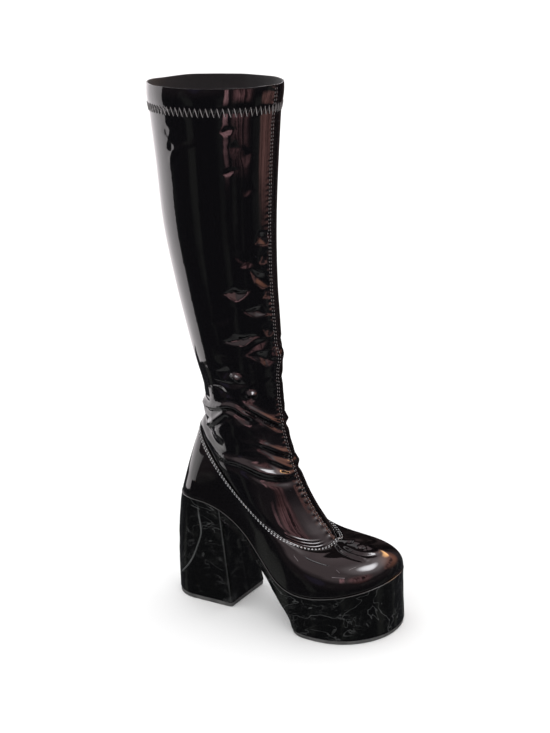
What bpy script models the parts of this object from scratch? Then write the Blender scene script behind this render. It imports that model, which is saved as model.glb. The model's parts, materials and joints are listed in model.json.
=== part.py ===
"""Knee-high platform boot for the right foot, in patent, with its shaft standing in the shape of a leg.

Sizes are in millimetres and become metres when a mesh is made. While the shapes are worked out,
x runs forward from the back of the heel block, y towards the inner (medial) side of the foot,
and z up from the floor. At the end everything is moved so that the origin is at the bottom centre.
"""

import math
from collections import namedtuple

import bmesh
import bpy
import numpy as np
from mathutils import Matrix, Vector

MM = 0.001
SEAT_GAP = 0.3  # between pieces that touch
TUCK_GAP = 1.1  # between the upper's inner face and the shaft or zip tucked under it
ZIP_SIDE_GAP = 1.1
NECK_INSET = 3.2  # how far the shaft stands inside the topline where it leaves it

# Walls and plates
UPPER_WALL = 1.8
SHAFT_WALL = 1.2
HEM_WALL = 2.4
INSOLE_THICKNESS = 3.0
INSOLE_INSET = 3.2
OUTSOLE_THICKNESS = 3.5
TOP_LIFT_THICKNESS = 4.0

# Sole outline: the feather line, where the upper meets the sole
FEATHER_BACK = 6.0
FEATHER_TOE = 235.0
HEEL_ROUND = 27.0  # length of the rounded back end
TOE_ROUND = 50.0  # length of the rounded toe end
TOE_SQUARENESS = 2.3  # 2 is an ellipse, more is squarer

# Heel block
HEEL_LENGTH = 74.0
HEEL_HALF_WIDTH = 31.2
HEEL_BACK_ROUND = 30.0
HEEL_BREAST_TOP = 61.0
HEEL_CORNER = 3.0

# Platform
PLATFORM_REAR = 62.8
WAIST_THICKNESS = 9.0
PLATFORM_FOOT_REAR = 143.0  # where the rear face comes down to the outsole
PLATFORM_REAR_SLOPE = 2.0
PLATFORM_FLARE = 1.0
WAIST_SOFTNESS = 3.0

# How far the upper's shoulder line stands between feather line and topline
SHOULDER_BACK = 0.5
SHOULDER_LIFT_HEEL = 0.5
SHOULDER_LIFT_TOE = 1.2
SHOULDER_FULLNESS = 0.045
SHOULDER_TOE_REACH = 3.0
FEATHER_EASE = 0.75  # keeps the upper's columns upright along the sides and fans them out at the toe

# Zip, on the medial side
ZIP_ANGLE = math.radians(270)
ZIP_HALF_WIDTH = 4.5
ZIP_THICKNESS = 1.4
ZIP_FOOT_RISE = 0.36
ZIP_TOP_LEVEL = 7.25
SLIDER_LEVEL = 6.75
SLIDER_WIDTH, SLIDER_LENGTH, SLIDER_HEIGHT = 8.4, 11.0, 3.2
BRIDGE_RADIUS, BRIDGE_REACH, BRIDGE_TOP = 0.8, 3.6, 6.4
PULL_BAR_RADIUS, PULL_BAR_HEIGHT, PULL_BAR_SET = 0.7, 4.55, -0.6
PULL_WIDTH, PULL_LENGTH, PULL_THICKNESS, PULL_WINDOW = 7.0, 27.0, 1.4, 7.5
PULL_ARM_WIDTH = 1.5

# Sampling
COLUMN_STEP = math.radians(7.5)
FEATHER_LIP = 1.5  # the upper starts upright for this height
UPPER_RISES = (0, 0.1, 0.22, ZIP_FOOT_RISE, 0.5, 0.63, 0.75, 0.86, 0.93, 1)
TUCK_RISES = (0.86, 0.93, 1)  # the shaft starts this far down inside the upper
LEVEL_STEP = 0.5

SoleStation = namedtuple("SoleStation", "x feather_z centre lateral medial")
SOLE = [
    SoleStation(6, 106.0, 0.0, 29.5, 28.5),
    SoleStation(30, 105.5, 0.0, 29.5, 28.5),
    SoleStation(50, 103.0, 0.0, 29.3, 27.5),
    SoleStation(70, 95.0, -0.5, 28.5, 26.0),
    SoleStation(90, 80.5, -1.0, 28.8, 25.5),
    SoleStation(110, 60.0, -2.0, 31.5, 26.5),
    SoleStation(128, 46.0, -3.0, 37.5, 32.0),
    SoleStation(150, 41.0, -3.0, 46.5, 42.0),
    SoleStation(170, 41.5, -2.5, 50.5, 47.5),
    SoleStation(195, 45.5, 0.0, 51.0, 49.5),
    SoleStation(220, 51.0, 3.5, 49.0, 48.5),
    SoleStation(235, 55.0, 5.0, 46.0, 46.0),
]

# Rings of the leg from the topline up. Each ring is an oval from a back point to a front point;
# dip lowers its sides, and swell makes its front half fuller than its back half.
Section = namedtuple("Section", "name back_x back_z front_x front_z lateral medial dip swell")
SECTIONS = [
    Section("topline", 26.0, 177.0, 172.0, 82.0, 36.5, 34.5, 17.0, 0.55),
    Section("instep", 31.0, 184.0, 152.0, 103.0, 35.0, 34.0, 11.0, 0.32),
    Section("heel_trough", 36.5, 189.5, 138.0, 125.0, 33.5, 33.5, 7.0, 0.18),
    Section("ankle_roll", 33.0, 201.0, 125.0, 154.0, 33.5, 34.5, 4.0, 0.08),
    Section("ankle", 37.0, 216.0, 116.5, 184.0, 33.0, 35.0, 2.0, 0.0),
    Section("above_ankle", 33.0, 232.0, 113.0, 216.0, 33.5, 36.5, 0.5, 0.0),
    Section("low_calf", 25.8, 253.0, 112.0, 247.0, 36.0, 40.0, 0.0, 0.0),
    Section("zip_head", 18.3, 282.0, 110.0, 280.0, 38.5, 43.0, 0.0, 0.0),
    Section("calf_taper", 8.0, 325.0, 107.3, 325.0, 42.0, 46.5, 0.0, 0.0),
    Section("calf", -1.5, 375.0, 107.0, 375.0, 45.5, 51.0, 0.0, 0.0),
    Section("full_calf", -6.0, 430.0, 109.5, 430.0, 49.0, 55.0, 0.0, 0.0),
    Section("hem_seam", -10.5, 477.0, 113.0, 477.0, 52.0, 57.5, 0.0, 0.0),
    Section("collar", -11.7, 504.0, 116.0, 504.0, 53.0, 59.0, 0.0, 0.0),
]
HEM_LEVEL = 11
COLLAR_LEVEL = len(SECTIONS) - 1


def through(rows, values, at):
    """A smooth curve through the table's values, read at the given places."""
    rows, values = np.asarray(rows, float), np.asarray(values, float)
    slopes = np.gradient(values, rows)
    at = np.clip(np.asarray(at, float), rows[0], rows[-1])
    i = np.clip(np.searchsorted(rows, at) - 1, 0, len(rows) - 2)
    span = rows[i + 1] - rows[i]
    f = (at - rows[i]) / span
    return (
        (1 + 2 * f) * (1 - f) ** 2 * values[i]
        + f * (1 - f) ** 2 * span * slopes[i]
        + f**2 * (3 - 2 * f) * values[i + 1]
        - f**2 * (1 - f) * span * slopes[i + 1]
    )


def sole_column(name, x):
    return through([s.x for s in SOLE], [getattr(s, name) for s in SOLE], x)


def feather_height(x):
    """Height of the feather line, straight between the columns so that every piece meets it alike."""
    return np.interp(x, FEATHER_PLACES, sole_column("feather_z", FEATHER_PLACES))


def end_rounding(x, back, toe):
    """1 along the sole, falling to 0 at its two ends in an elliptic heel and a squarer toe."""
    into_heel = np.clip(1 - (x - back) / HEEL_ROUND, 0, 1)
    into_toe = np.clip((x - toe + TOE_ROUND) / TOE_ROUND, 0, 1)
    heel = np.sqrt(np.clip(1 - into_heel**2, 0, 1))
    return heel * np.clip(1 - into_toe**TOE_SQUARENESS, 0, 1) ** (1 / TOE_SQUARENESS)


def sole_edge(x, side, grow=0.0):
    """y of the sole's edge at x on the lateral (-1) or medial (+1) side, grown outwards."""
    half = sole_column("lateral" if side < 0 else "medial", x) + grow
    return sole_column("centre", x) + side * half * end_rounding(
        x, FEATHER_BACK - grow, FEATHER_TOE + grow
    )


def along_ring(angle):
    """Share of the way from a ring's back point to its front point."""
    return (1 - np.cos(angle)) / 2


COLUMN_ANGLES = np.arange(0, 2 * math.pi - 1e-6, COLUMN_STEP)
ZIP_COLUMN = int(round(ZIP_ANGLE / COLUMN_STEP))


def feather_place(angle):
    share = along_ring(angle)
    share = share - FEATHER_EASE * share**2 * (1 - share)
    return FEATHER_BACK + (FEATHER_TOE - FEATHER_BACK) * share


FEATHER_PLACES = feather_place(COLUMN_ANGLES[: len(COLUMN_ANGLES) // 2 + 1])


def feather_row(angle):
    x = feather_place(angle)
    y = np.where(np.sin(angle) > 0, sole_edge(x, -1), sole_edge(x, 1))
    return np.stack([x, y, feather_height(x)], axis=-1)


def leg_row(angle, level, inset=0.0):
    """Points round the leg at a level, which counts the rows of SECTIONS."""
    columns = {
        name: through(range(len(SECTIONS)), [getattr(s, name) for s in SECTIONS], level)
        for name in Section._fields[1:]
    }
    share, around = along_ring(angle), np.sin(angle)
    fuller = 1 + columns["swell"] * (share - 0.5)
    half = np.where(around > 0, columns["lateral"], columns["medial"]) - inset
    x = columns["back_x"] + (columns["front_x"] - columns["back_x"]) * share
    z = columns["back_z"] + (columns["front_z"] - columns["back_z"]) * share
    z = z - columns["dip"] * fuller * np.abs(around)
    return np.stack([x, -half * fuller * around, z], axis=-1)


def upper_row(angle, rise):
    """Points round the upper, from the feather line at rise 0 to the topline at rise 1."""
    foot, top = feather_row(angle), leg_row(angle, 0)
    share = along_ring(angle)[..., None]
    lean = SHOULDER_BACK * (1 - share**2)
    lift = SHOULDER_LIFT_HEEL + (SHOULDER_LIFT_TOE - SHOULDER_LIFT_HEEL) * share**6
    shoulder = foot + (top - foot) * np.concatenate([lean, 0 * lean, lift], axis=-1)
    shoulder[..., 1] = foot[..., 1] * (1 + SHOULDER_FULLNESS)
    shoulder[..., 0] += SHOULDER_TOE_REACH * share[..., 0] ** 8
    return foot * (1 - rise) ** 2 + shoulder * 2 * rise * (1 - rise) + top * rise**2


def lining_row(angle, rise):
    """The upper's row moved inwards, to where the shaft and the zip lie against its inner face."""
    step = 1e-3
    around = upper_row(angle + step, rise) - upper_row(angle - step, rise)
    up = upper_row(angle, rise) - upper_row(angle, rise - step)
    outward = np.cross(around, up)
    outward /= np.linalg.norm(outward, axis=-1, keepdims=True)
    return upper_row(angle, rise) - outward * (UPPER_WALL + TUCK_GAP)


def shaft_row(angle, level):
    """The leg's row, drawn in a little where it leaves the topline."""
    return leg_row(angle, level, NECK_INSET * max(0, 1 - level))


def zip_angles(row, half_width):
    """The two angles at which a row meets the zip's edges."""
    step = 1e-3
    ends = row(np.array([ZIP_ANGLE - step, ZIP_ANGLE + step]))
    turn = half_width * 2 * step / np.linalg.norm(ends[1] - ends[0])
    return ZIP_ANGLE - turn, ZIP_ANGLE + turn


def wall_angles(row, pull=1.0):
    """Angles of the columns of a wall. The zip's two neighbours are pulled onto its edges."""
    angles = COLUMN_ANGLES.copy()
    beside = [ZIP_COLUMN - 1, ZIP_COLUMN + 1]
    angles[beside] += (np.array(zip_angles(row, ZIP_HALF_WIDTH)) - angles[beside]) * pull
    return angles


def zip_slit(first, last):
    """A test for the cells between the zip's edges, from one row to another."""
    return lambda i, j: i in (ZIP_COLUMN - 1, ZIP_COLUMN) and first <= j < last


def material(name, colour, roughness, metallic=0.0):
    made = bpy.data.materials.new(name)
    made.use_nodes = True
    shader = made.node_tree.nodes["Principled BSDF"]
    shader.inputs["Base Color"].default_value = (*colour, 1)
    shader.inputs["Roughness"].default_value = roughness
    shader.inputs["Metallic"].default_value = metallic
    return made


def object_from(bm, name, finish):
    bmesh.ops.remove_doubles(bm, verts=bm.verts, dist=1e-6)
    mesh = bpy.data.meshes.new(name)
    bm.to_mesh(mesh)
    bm.free()
    mesh.materials.append(finish)
    mesh.shade_smooth()
    mesh.set_sharp_from_angle(angle=math.radians(40))
    made = bpy.data.objects.new(name, mesh)
    PARTS.objects.link(made)
    return made


def add_points(bm, points):
    return [bm.verts.new(Vector(p) * MM) for p in points]


def wall(name, rows, finish, closed=True, slit=None):
    """An open surface lofted through rows of points. slit says which cells are left out."""
    bm = bmesh.new()
    grid = [add_points(bm, row) for row in rows]
    count = len(rows[0])
    for j in range(len(rows) - 1):
        for i in range(count if closed else count - 1):
            if slit and slit(i, j):
                continue
            k = (i + 1) % count
            bm.faces.new((grid[j][i], grid[j][k], grid[j + 1][k], grid[j + 1][i]))
    loose = [v for v in bm.verts if not v.link_faces]
    bmesh.ops.delete(bm, geom=loose, context="VERTS")
    return object_from(bm, name, finish)


def thicken(made, thickness):
    shell = made.modifiers.new("Wall", "SOLIDIFY")
    shell.thickness = thickness * MM
    shell.offset = -1
    shell.use_even_offset = True
    return shell


def ladder_solid(name, levels, finish):
    """A closed solid from levels, lowest first. Each level is a lateral and a medial edge, back to front."""
    bm = bmesh.new()
    edges = [[add_points(bm, edge) for edge in level] for level in levels]
    count = len(levels[0][0])
    for low, high in zip(edges, edges[1:]):
        for i in range(count - 1):
            bm.faces.new((low[0][i], low[0][i + 1], high[0][i + 1], high[0][i]))
            bm.faces.new((low[1][i + 1], low[1][i], high[1][i], high[1][i + 1]))
        bm.faces.new((low[1][0], low[0][0], high[0][0], high[1][0]))
        bm.faces.new((low[0][-1], low[1][-1], high[1][-1], high[0][-1]))
    for i in range(count - 1):
        (lateral, medial), (top_lateral, top_medial) = edges[0], edges[-1]
        bm.faces.new((medial[i], medial[i + 1], lateral[i + 1], lateral[i]))
        bm.faces.new((top_lateral[i], top_lateral[i + 1], top_medial[i + 1], top_medial[i]))
    bmesh.ops.remove_doubles(bm, verts=bm.verts, dist=1e-6)
    bmesh.ops.dissolve_degenerate(bm, edges=bm.edges, dist=1e-6)
    bmesh.ops.recalc_face_normals(bm, faces=bm.faces)
    return object_from(bm, name, finish)


def edge_pair(x, height, grow=0.0):
    """The two edges of the sole's outline at the given x places, at the given heights."""
    z = np.broadcast_to(height, x.shape)
    return [np.stack([x, sole_edge(x, side, grow), z], axis=-1) for side in (-1, 1)]


def round_end(start, end, count):
    """Places from start to end that crowd towards the rounded end."""
    return start + (end - start) * np.sin(np.linspace(0, math.pi / 2, count))


def platform_places():
    """Places along the platform: the columns of the upper, and the platform's own corners."""
    corners = (PLATFORM_REAR, PLATFORM_FOOT_REAR)
    return np.unique([*FEATHER_PLACES[FEATHER_PLACES > PLATFORM_REAR + 1], *corners])


def make_upper(finish):
    rows = []
    for rise in UPPER_RISES:
        angles = wall_angles(lambda a: upper_row(a, rise), pull=min(1, rise / ZIP_FOOT_RISE))
        rows.append(upper_row(angles, rise))
    rows.insert(1, rows[0] + np.array([0, 0, FEATHER_LIP]))
    slit = zip_slit(UPPER_RISES.index(ZIP_FOOT_RISE) + 1, len(rows))
    thicken(wall("upper", rows, finish, slit=slit), UPPER_WALL)


def make_shaft(finish):
    lining = [lambda a, r=r: lining_row(a, r) for r in TUCK_RISES]
    levels = sorted({*np.arange(LEVEL_STEP, COLLAR_LEVEL + LEVEL_STEP, LEVEL_STEP), ZIP_TOP_LEVEL})
    leg = [lambda a, n=n: shaft_row(a, n) for n in levels]
    rows = [row(wall_angles(row)) for row in lining + leg]
    top = len(lining) + levels.index(ZIP_TOP_LEVEL)
    made = wall("shaft", rows, finish, slit=zip_slit(0, top))
    shell = thicken(made, HEM_WALL)
    folded = made.vertex_groups.new(name="wall")
    hem_z = SECTIONS[HEM_LEVEL].back_z * MM - 1e-6
    for vertex in made.data.vertices:
        share = 1 if vertex.co.z > hem_z else SHAFT_WALL / HEM_WALL
        folded.add([vertex.index], share, "REPLACE")
    shell.vertex_group = folded.name


def make_zip_tape(finish):
    half = ZIP_HALF_WIDTH - ZIP_SIDE_GAP
    rises = [r for r in UPPER_RISES if r > ZIP_FOOT_RISE]
    rises = [ZIP_FOOT_RISE + 0.006, *rises]
    levels = [*np.arange(LEVEL_STEP, ZIP_TOP_LEVEL, LEVEL_STEP), ZIP_TOP_LEVEL - 0.012]
    rows = [lambda a, r=r: lining_row(a, r) for r in rises] + [lambda a, n=n: shaft_row(a, n) for n in levels]
    strips = []
    for row in rows:
        low, high = zip_angles(row, half)
        strips.append(row(np.array([low, ZIP_ANGLE, high])))
    thicken(wall("zip_tape", strips, finish, closed=False), ZIP_THICKNESS)


def make_insole(finish):
    back, toe = FEATHER_BACK + INSOLE_INSET, FEATHER_TOE - INSOLE_INSET
    middle = FEATHER_PLACES[(FEATHER_PLACES > back + 8) & (FEATHER_PLACES < toe - 10)]
    heel = round_end(middle[0], back, 6)[:0:-1]
    x = np.concatenate([heel, middle, round_end(middle[-1], toe, 6)[1:]])
    bottom = feather_height(x)
    levels = [edge_pair(x, bottom + lift, -INSOLE_INSET) for lift in (0, INSOLE_THICKNESS)]
    ladder_solid("insole", levels, finish)


def platform_underside(x):
    """Bottom of the platform: a thin waist that turns down into the rear face."""
    outsole_top = OUTSOLE_THICKNESS + SEAT_GAP
    waist = feather_height(x) - WAIST_THICKNESS
    rear_face = outsole_top + (PLATFORM_FOOT_REAR - x) * PLATFORM_REAR_SLOPE
    lower = -WAIST_SOFTNESS * np.logaddexp(-waist / WAIST_SOFTNESS, -rear_face / WAIST_SOFTNESS)
    return np.maximum(outsole_top, lower)


def make_platform(finish):
    x = platform_places()
    grown = x + PLATFORM_FLARE * np.clip((x - PLATFORM_FOOT_REAR) / (FEATHER_TOE - PLATFORM_FOOT_REAR), 0, 1)
    levels = [
        edge_pair(grown, platform_underside(grown), PLATFORM_FLARE),
        edge_pair(x, feather_height(x) - SEAT_GAP),
    ]
    ladder_solid("platform", levels, finish)


def make_outsole(finish):
    grow = PLATFORM_FLARE - 0.6
    x = round_end(PLATFORM_FOOT_REAR + 1.5, FEATHER_TOE + grow, 18)
    ladder_solid("outsole", [edge_pair(x, z, grow) for z in (0, OUTSOLE_THICKNESS)], finish)


def heel_edges(height, inset=0.0):
    """The heel's two edges at a share of its height: 0 at the floor, 1 under the upper."""
    back_curve = height**3.5
    back = FEATHER_BACK * back_curve + inset
    breast = HEEL_LENGTH + (HEEL_BREAST_TOP - HEEL_LENGTH) * height - inset
    round_length = HEEL_BACK_ROUND + (HEEL_ROUND - HEEL_BACK_ROUND) * height
    arc = back + round_length * (1 - np.cos(np.linspace(0, math.pi / 2, 9)))
    straight = np.linspace(arc[-1], breast - HEEL_CORNER, 4)[1:]
    corner_turn = np.linspace(0, math.pi / 2, 4)[1:]
    corner = breast - HEEL_CORNER + HEEL_CORNER * np.sin(corner_turn)
    x = np.concatenate([arc, straight, corner])
    inward = np.concatenate([np.zeros(len(arc) + len(straight)), HEEL_CORNER * (1 - np.cos(corner_turn))])
    into_arc = np.clip(1 - (x - back) / round_length, 0, 1)
    rounding = np.sqrt(1 - into_arc**2)
    edges = []
    for side, column in ((-1, "lateral"), (1, "medial")):
        top_half = sole_column(column, x)
        half = HEEL_HALF_WIDTH + (top_half - HEEL_HALF_WIDTH) * height - inset
        edges.append((x, side * (half * rounding - inward)))
    return edges


def make_heel(block_finish, lift_finish):
    bottom = TOP_LIFT_THICKNESS + SEAT_GAP
    levels = []
    for height in (0, 0.3, 0.55, 0.75, 0.88, 0.95, 1):
        level = []
        for x, y in heel_edges(height):
            z = bottom + (feather_height(x) - SEAT_GAP - bottom) * height
            level.append(np.stack([x, y, z], axis=-1))
        levels.append(level)
    ladder_solid("heel_block", levels, block_finish)
    lift = [
        [np.stack([x, y, np.full_like(x, z)], axis=-1) for x, y in heel_edges(0, inset=0.4)]
        for z in (0, TOP_LIFT_THICKNESS)
    ]
    ladder_solid("heel_top_lift", lift, lift_finish)


def slider_frame():
    """Where the slider sits on the zip: its place, and its sideways, outward and upward directions."""
    step = 1e-2
    angle = np.array([ZIP_ANGLE])
    place = leg_row(angle, SLIDER_LEVEL)[0]
    up = leg_row(angle, SLIDER_LEVEL + step)[0] - leg_row(angle, SLIDER_LEVEL - step)[0]
    around = leg_row(angle + step, SLIDER_LEVEL)[0] - leg_row(angle - step, SLIDER_LEVEL)[0]
    outward = np.cross(around, up)
    up, outward = up / np.linalg.norm(up), outward / np.linalg.norm(outward)
    return Vector(place), Vector(np.cross(outward, up)), Vector(outward), Vector(up)


def placed(place, sideways, outward, up):
    """A matrix whose axes are sideways, outward and up, at a place in millimetres."""
    turn = Matrix((sideways, outward, up)).transposed().to_4x4()
    return Matrix.Translation(place * MM) @ turn


def box(bm, size, centre):
    made = bmesh.ops.create_cube(bm, size=1)["verts"]
    bmesh.ops.scale(bm, vec=Vector(size) * MM, verts=made)
    bmesh.ops.translate(bm, vec=Vector(centre) * MM, verts=made)


def rod(bm, radius, length, centre):
    """A round bar along the local x axis."""
    turn = Matrix.Translation(Vector(centre) * MM) @ Matrix.Rotation(math.pi / 2, 4, "Y")
    bmesh.ops.create_cone(
        bm, cap_ends=True, segments=10, radius1=radius * MM, radius2=radius * MM, depth=length * MM, matrix=turn
    )


def helper_from(bm, name):
    mesh = bpy.data.meshes.new(name)
    bm.to_mesh(mesh)
    bm.free()
    made = bpy.data.objects.new(name, mesh)
    made.hide_render = True
    made.display_type = "WIRE"
    HELPERS.objects.link(made)
    return made


def join(made, helper):
    union = made.modifiers.new("Join " + helper.name, "BOOLEAN")
    union.operation = "UNION"
    union.object = helper


def bridge_helper(matrix):
    """The slider's bridge: a bent wire over the body, made a mesh so that it can be joined."""
    curve = bpy.data.curves.new("bridge_wire", "CURVE")
    curve.dimensions = "3D"
    curve.bevel_depth = BRIDGE_RADIUS * MM
    curve.bevel_resolution = 2
    curve.use_fill_caps = True
    turns = np.linspace(0, math.pi, 11)
    spline = curve.splines.new("POLY")
    spline.points.add(len(turns) - 1)
    foot = SLIDER_HEIGHT - 1
    for point, a in zip(spline.points, turns):
        height = foot + (BRIDGE_TOP - foot) * math.sin(a) ** 0.5
        point.co = (*(Vector((0, height, BRIDGE_REACH * math.cos(a))) * MM), 1)
    wire = bpy.data.objects.new("bridge_wire", curve)
    HELPERS.objects.link(wire)
    graph = bpy.context.evaluated_depsgraph_get()
    mesh = bpy.data.meshes.new_from_object(wire.evaluated_get(graph))
    bpy.data.objects.remove(wire)
    bm = bmesh.new()
    bm.from_mesh(mesh)
    bmesh.ops.remove_doubles(bm, verts=bm.verts, dist=1e-6)
    made = helper_from(bm, "bridge")
    made.matrix_world = matrix
    return made


def make_slider(finish):
    matrix = placed(*slider_frame())
    bm = bmesh.new()
    box(bm, (SLIDER_WIDTH, SLIDER_HEIGHT - SEAT_GAP, SLIDER_LENGTH), (0, (SLIDER_HEIGHT + SEAT_GAP) / 2, 0))
    lower = [v for v in bm.verts if v.co.z < 0]
    bmesh.ops.scale(bm, vec=(0.72, 1, 1), verts=lower)
    bmesh.ops.bevel(bm, geom=bm.edges[:], offset=0.9 * MM, segments=2, affect="EDGES", profile=0.5)
    made = object_from(bm, "zip_slider", finish)
    made.matrix_world = matrix
    join(made, bridge_helper(matrix))


def hinge_frame():
    """The pull's hinge: on the bar under the bridge, with the tab hanging straight down."""
    place, sideways, outward, up = slider_frame()
    axis_place = place + outward * PULL_BAR_HEIGHT + up * PULL_BAR_SET
    hang = Vector((0, 0, -1))
    hang = (hang - sideways * hang.dot(sideways)).normalized()
    return axis_place, sideways, hang.cross(sideways), -hang


def make_pull(finish):
    """The pull tab: a bar under the bridge, two arms beside it, and a plate below."""
    bm = bmesh.new()
    plate = PULL_LENGTH - PULL_WINDOW
    box(bm, (PULL_WIDTH, PULL_THICKNESS, plate), (0, 0, -PULL_WINDOW - plate / 2))
    corners = [e for e in bm.edges if abs(e.verts[0].co.y - e.verts[1].co.y) > 0.5 * PULL_THICKNESS * MM]
    bmesh.ops.bevel(bm, geom=corners, offset=1.2 * MM, segments=2, affect="EDGES", profile=0.5)
    made = object_from(bm, "zip_pull", finish)
    matrix = placed(*hinge_frame())
    made.matrix_world = matrix
    arm_place = (PULL_WIDTH - PULL_ARM_WIDTH) / 2
    for name, side in (("pull_arm_a", -1), ("pull_arm_b", 1)):
        bm = bmesh.new()
        arm_length = PULL_WINDOW + 1.5
        box(bm, (PULL_ARM_WIDTH, PULL_THICKNESS * 0.9, arm_length), (side * arm_place, 0, 0.4 - arm_length / 2))
        arm = helper_from(bm, name)
        arm.matrix_world = matrix
        join(made, arm)
    bm = bmesh.new()
    rod(bm, PULL_BAR_RADIUS, PULL_WIDTH - 0.4, (0, 0, 0))
    bar = helper_from(bm, "pull_bar")
    bar.matrix_world = matrix
    join(made, bar)


def centre_on_floor():
    """Moves everything so that the origin is under the middle of the boot, on the floor."""
    bpy.context.view_layer.update()
    graph = bpy.context.evaluated_depsgraph_get()
    corners = []
    for made in PARTS.objects:
        mesh = made.evaluated_get(graph).to_mesh()
        corners += [made.matrix_world @ v.co for v in mesh.vertices]
    low = Vector(map(min, *corners))
    high = Vector(map(max, *corners))
    shift = Matrix.Translation((-(low.x + high.x) / 2, -(low.y + high.y) / 2, -low.z))
    for made in [*PARTS.objects, *HELPERS.objects]:
        made.matrix_world = shift @ made.matrix_world
    place, sideways, _, _ = hinge_frame()
    print("origin moved by (mm)", [round(c / MM, 3) for c in shift.translation])
    print("pull hinge at (m)", [round(c, 5) for c in shift @ (place * MM)], "axis", [round(c, 5) for c in sideways])


for old in list(bpy.data.objects):
    bpy.data.objects.remove(old)
PARTS = bpy.data.collections.new("platform boot")
HELPERS = bpy.data.collections.new("helpers")
for collection in (PARTS, HELPERS):
    bpy.context.scene.collection.children.link(collection)

patent = material("black patent", (0.006, 0.005, 0.006), 0.06)
stretch_patent = material("black stretch patent", (0.006, 0.005, 0.006), 0.08)
rubber = material("charcoal rubber", (0.035, 0.036, 0.036), 0.6)
lining = material("black lining", (0.012, 0.011, 0.012), 0.8)
zip_cloth = material("zip tape", (0.02, 0.018, 0.022), 0.55)
gunmetal = material("gunmetal", (0.16, 0.15, 0.16), 0.3, metallic=1.0)

make_outsole(rubber)
make_platform(patent)
make_heel(patent, rubber)
make_insole(lining)
make_upper(patent)
make_shaft(stretch_patent)
make_zip_tape(zip_cloth)
make_slider(gunmetal)
make_pull(gunmetal)
centre_on_floor()
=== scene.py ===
import json
import math

import bmesh
import bpy
import numpy as np
from mathutils import Matrix, Vector, noise

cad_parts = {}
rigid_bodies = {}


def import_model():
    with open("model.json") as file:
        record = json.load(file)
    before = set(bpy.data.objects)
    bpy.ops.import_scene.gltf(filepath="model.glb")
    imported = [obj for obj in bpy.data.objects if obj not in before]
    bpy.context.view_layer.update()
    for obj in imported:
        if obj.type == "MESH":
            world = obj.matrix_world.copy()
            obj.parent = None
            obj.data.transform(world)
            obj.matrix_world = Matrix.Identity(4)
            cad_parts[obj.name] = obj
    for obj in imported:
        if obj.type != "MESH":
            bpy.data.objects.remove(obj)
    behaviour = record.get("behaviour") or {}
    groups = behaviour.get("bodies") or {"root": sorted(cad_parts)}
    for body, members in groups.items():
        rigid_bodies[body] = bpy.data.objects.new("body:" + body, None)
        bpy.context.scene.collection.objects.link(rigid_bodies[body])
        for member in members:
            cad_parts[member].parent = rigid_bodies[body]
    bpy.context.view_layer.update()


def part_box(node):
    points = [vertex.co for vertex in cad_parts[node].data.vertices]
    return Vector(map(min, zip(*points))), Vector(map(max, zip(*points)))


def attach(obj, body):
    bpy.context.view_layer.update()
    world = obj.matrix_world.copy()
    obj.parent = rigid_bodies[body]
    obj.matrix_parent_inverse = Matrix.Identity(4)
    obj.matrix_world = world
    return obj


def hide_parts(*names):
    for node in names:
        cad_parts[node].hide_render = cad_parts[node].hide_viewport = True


for leftOver in list(bpy.data.objects):
    bpy.data.objects.remove(leftOver)
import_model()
scene = bpy.context.scene
scene.view_settings.view_transform = "Standard"

# shapes are worked out in mm: x forward from the back of the heel, y to the inner side of the foot, z up
mm = 0.001
fullTurn = 2 * math.pi
heelLow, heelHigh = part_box("heel_block")
heelPlace = np.array([heelLow.x, (heelLow.y + heelHigh.y) / 2, 0])


def toFrame(points):
    return np.asarray(points, float) * mm + heelPlace


print("frame loaded, heel at", heelPlace.round(5))

sole = {  # feather line, where the pump meets the sole, back to toe
    "x": [6, 30, 50, 70, 90, 110, 128, 150, 170, 195, 220, 235],
    "height": [106, 105.5, 103, 95, 80.5, 60, 46, 41, 41.5, 45.5, 51, 55],
    "centre": [0, 0, 0, -0.5, -1, -2, -3, -3, -2.5, 0, 3.5, 5],
    "outer": [29.5, 29.5, 29.3, 28.5, 28.8, 31.5, 37.5, 46.5, 50.5, 51, 49, 46],
    "inner": [28.5, 28.5, 27.5, 26, 25.5, 26.5, 32, 42, 47.5, 49.5, 48.5, 46],
}
soleEnds = {"back": 6, "toe": 235, "heelRound": 27, "toeRound": 50, "toeSquare": 2.3, "ease": 0.75}
leg = {  # rings from the topline up to the collar: back point, front point, half widths
    "backX": [26, 31, 36.5, 33, 37, 33, 25.8, 18.3, 8, -1.5, -6, -10.5, -11.7],
    "backZ": [177, 184, 189.5, 201, 216, 232, 253, 282, 325, 375, 430, 477, 504],
    "frontX": [172, 152, 138, 125, 116.5, 113, 112, 110, 107.3, 107, 109.5, 113, 116],
    "frontZ": [82, 103, 125, 154, 184, 216, 247, 280, 325, 375, 430, 477, 504],
    "outer": [36.5, 35, 33.5, 33.5, 33, 33.5, 36, 38.5, 42, 45.5, 49, 52, 53],
    "inner": [34.5, 34, 33.5, 34.5, 35, 36.5, 40, 43, 46.5, 51, 55, 57.5, 59],
    "dip": [17, 11, 7, 4, 2, 0.5, 0, 0, 0, 0, 0, 0, 0],  # the ring's sides hang below its ends
    "swell": [0.55, 0.32, 0.18, 0.08, 0, 0, 0, 0, 0, 0, 0, 0, 0],  # fuller towards the front
}
collarLevel = 12
zipAngle = math.radians(270)
foldShape = {"steps": 64, "fade": 0.25, "start": 0.06, "hollowAt": 1.6}


def unit(v):
    return v / np.linalg.norm(v, axis=-1, keepdims=True)


def smoothStep(a, b, x):
    f = np.clip((x - a) / (b - a), 0, 1)
    return f * f * (3 - 2 * f)


def bell(x, width):  # 1 in the middle, fading out to both sides
    return np.exp(-((x / width) ** 2))


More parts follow.
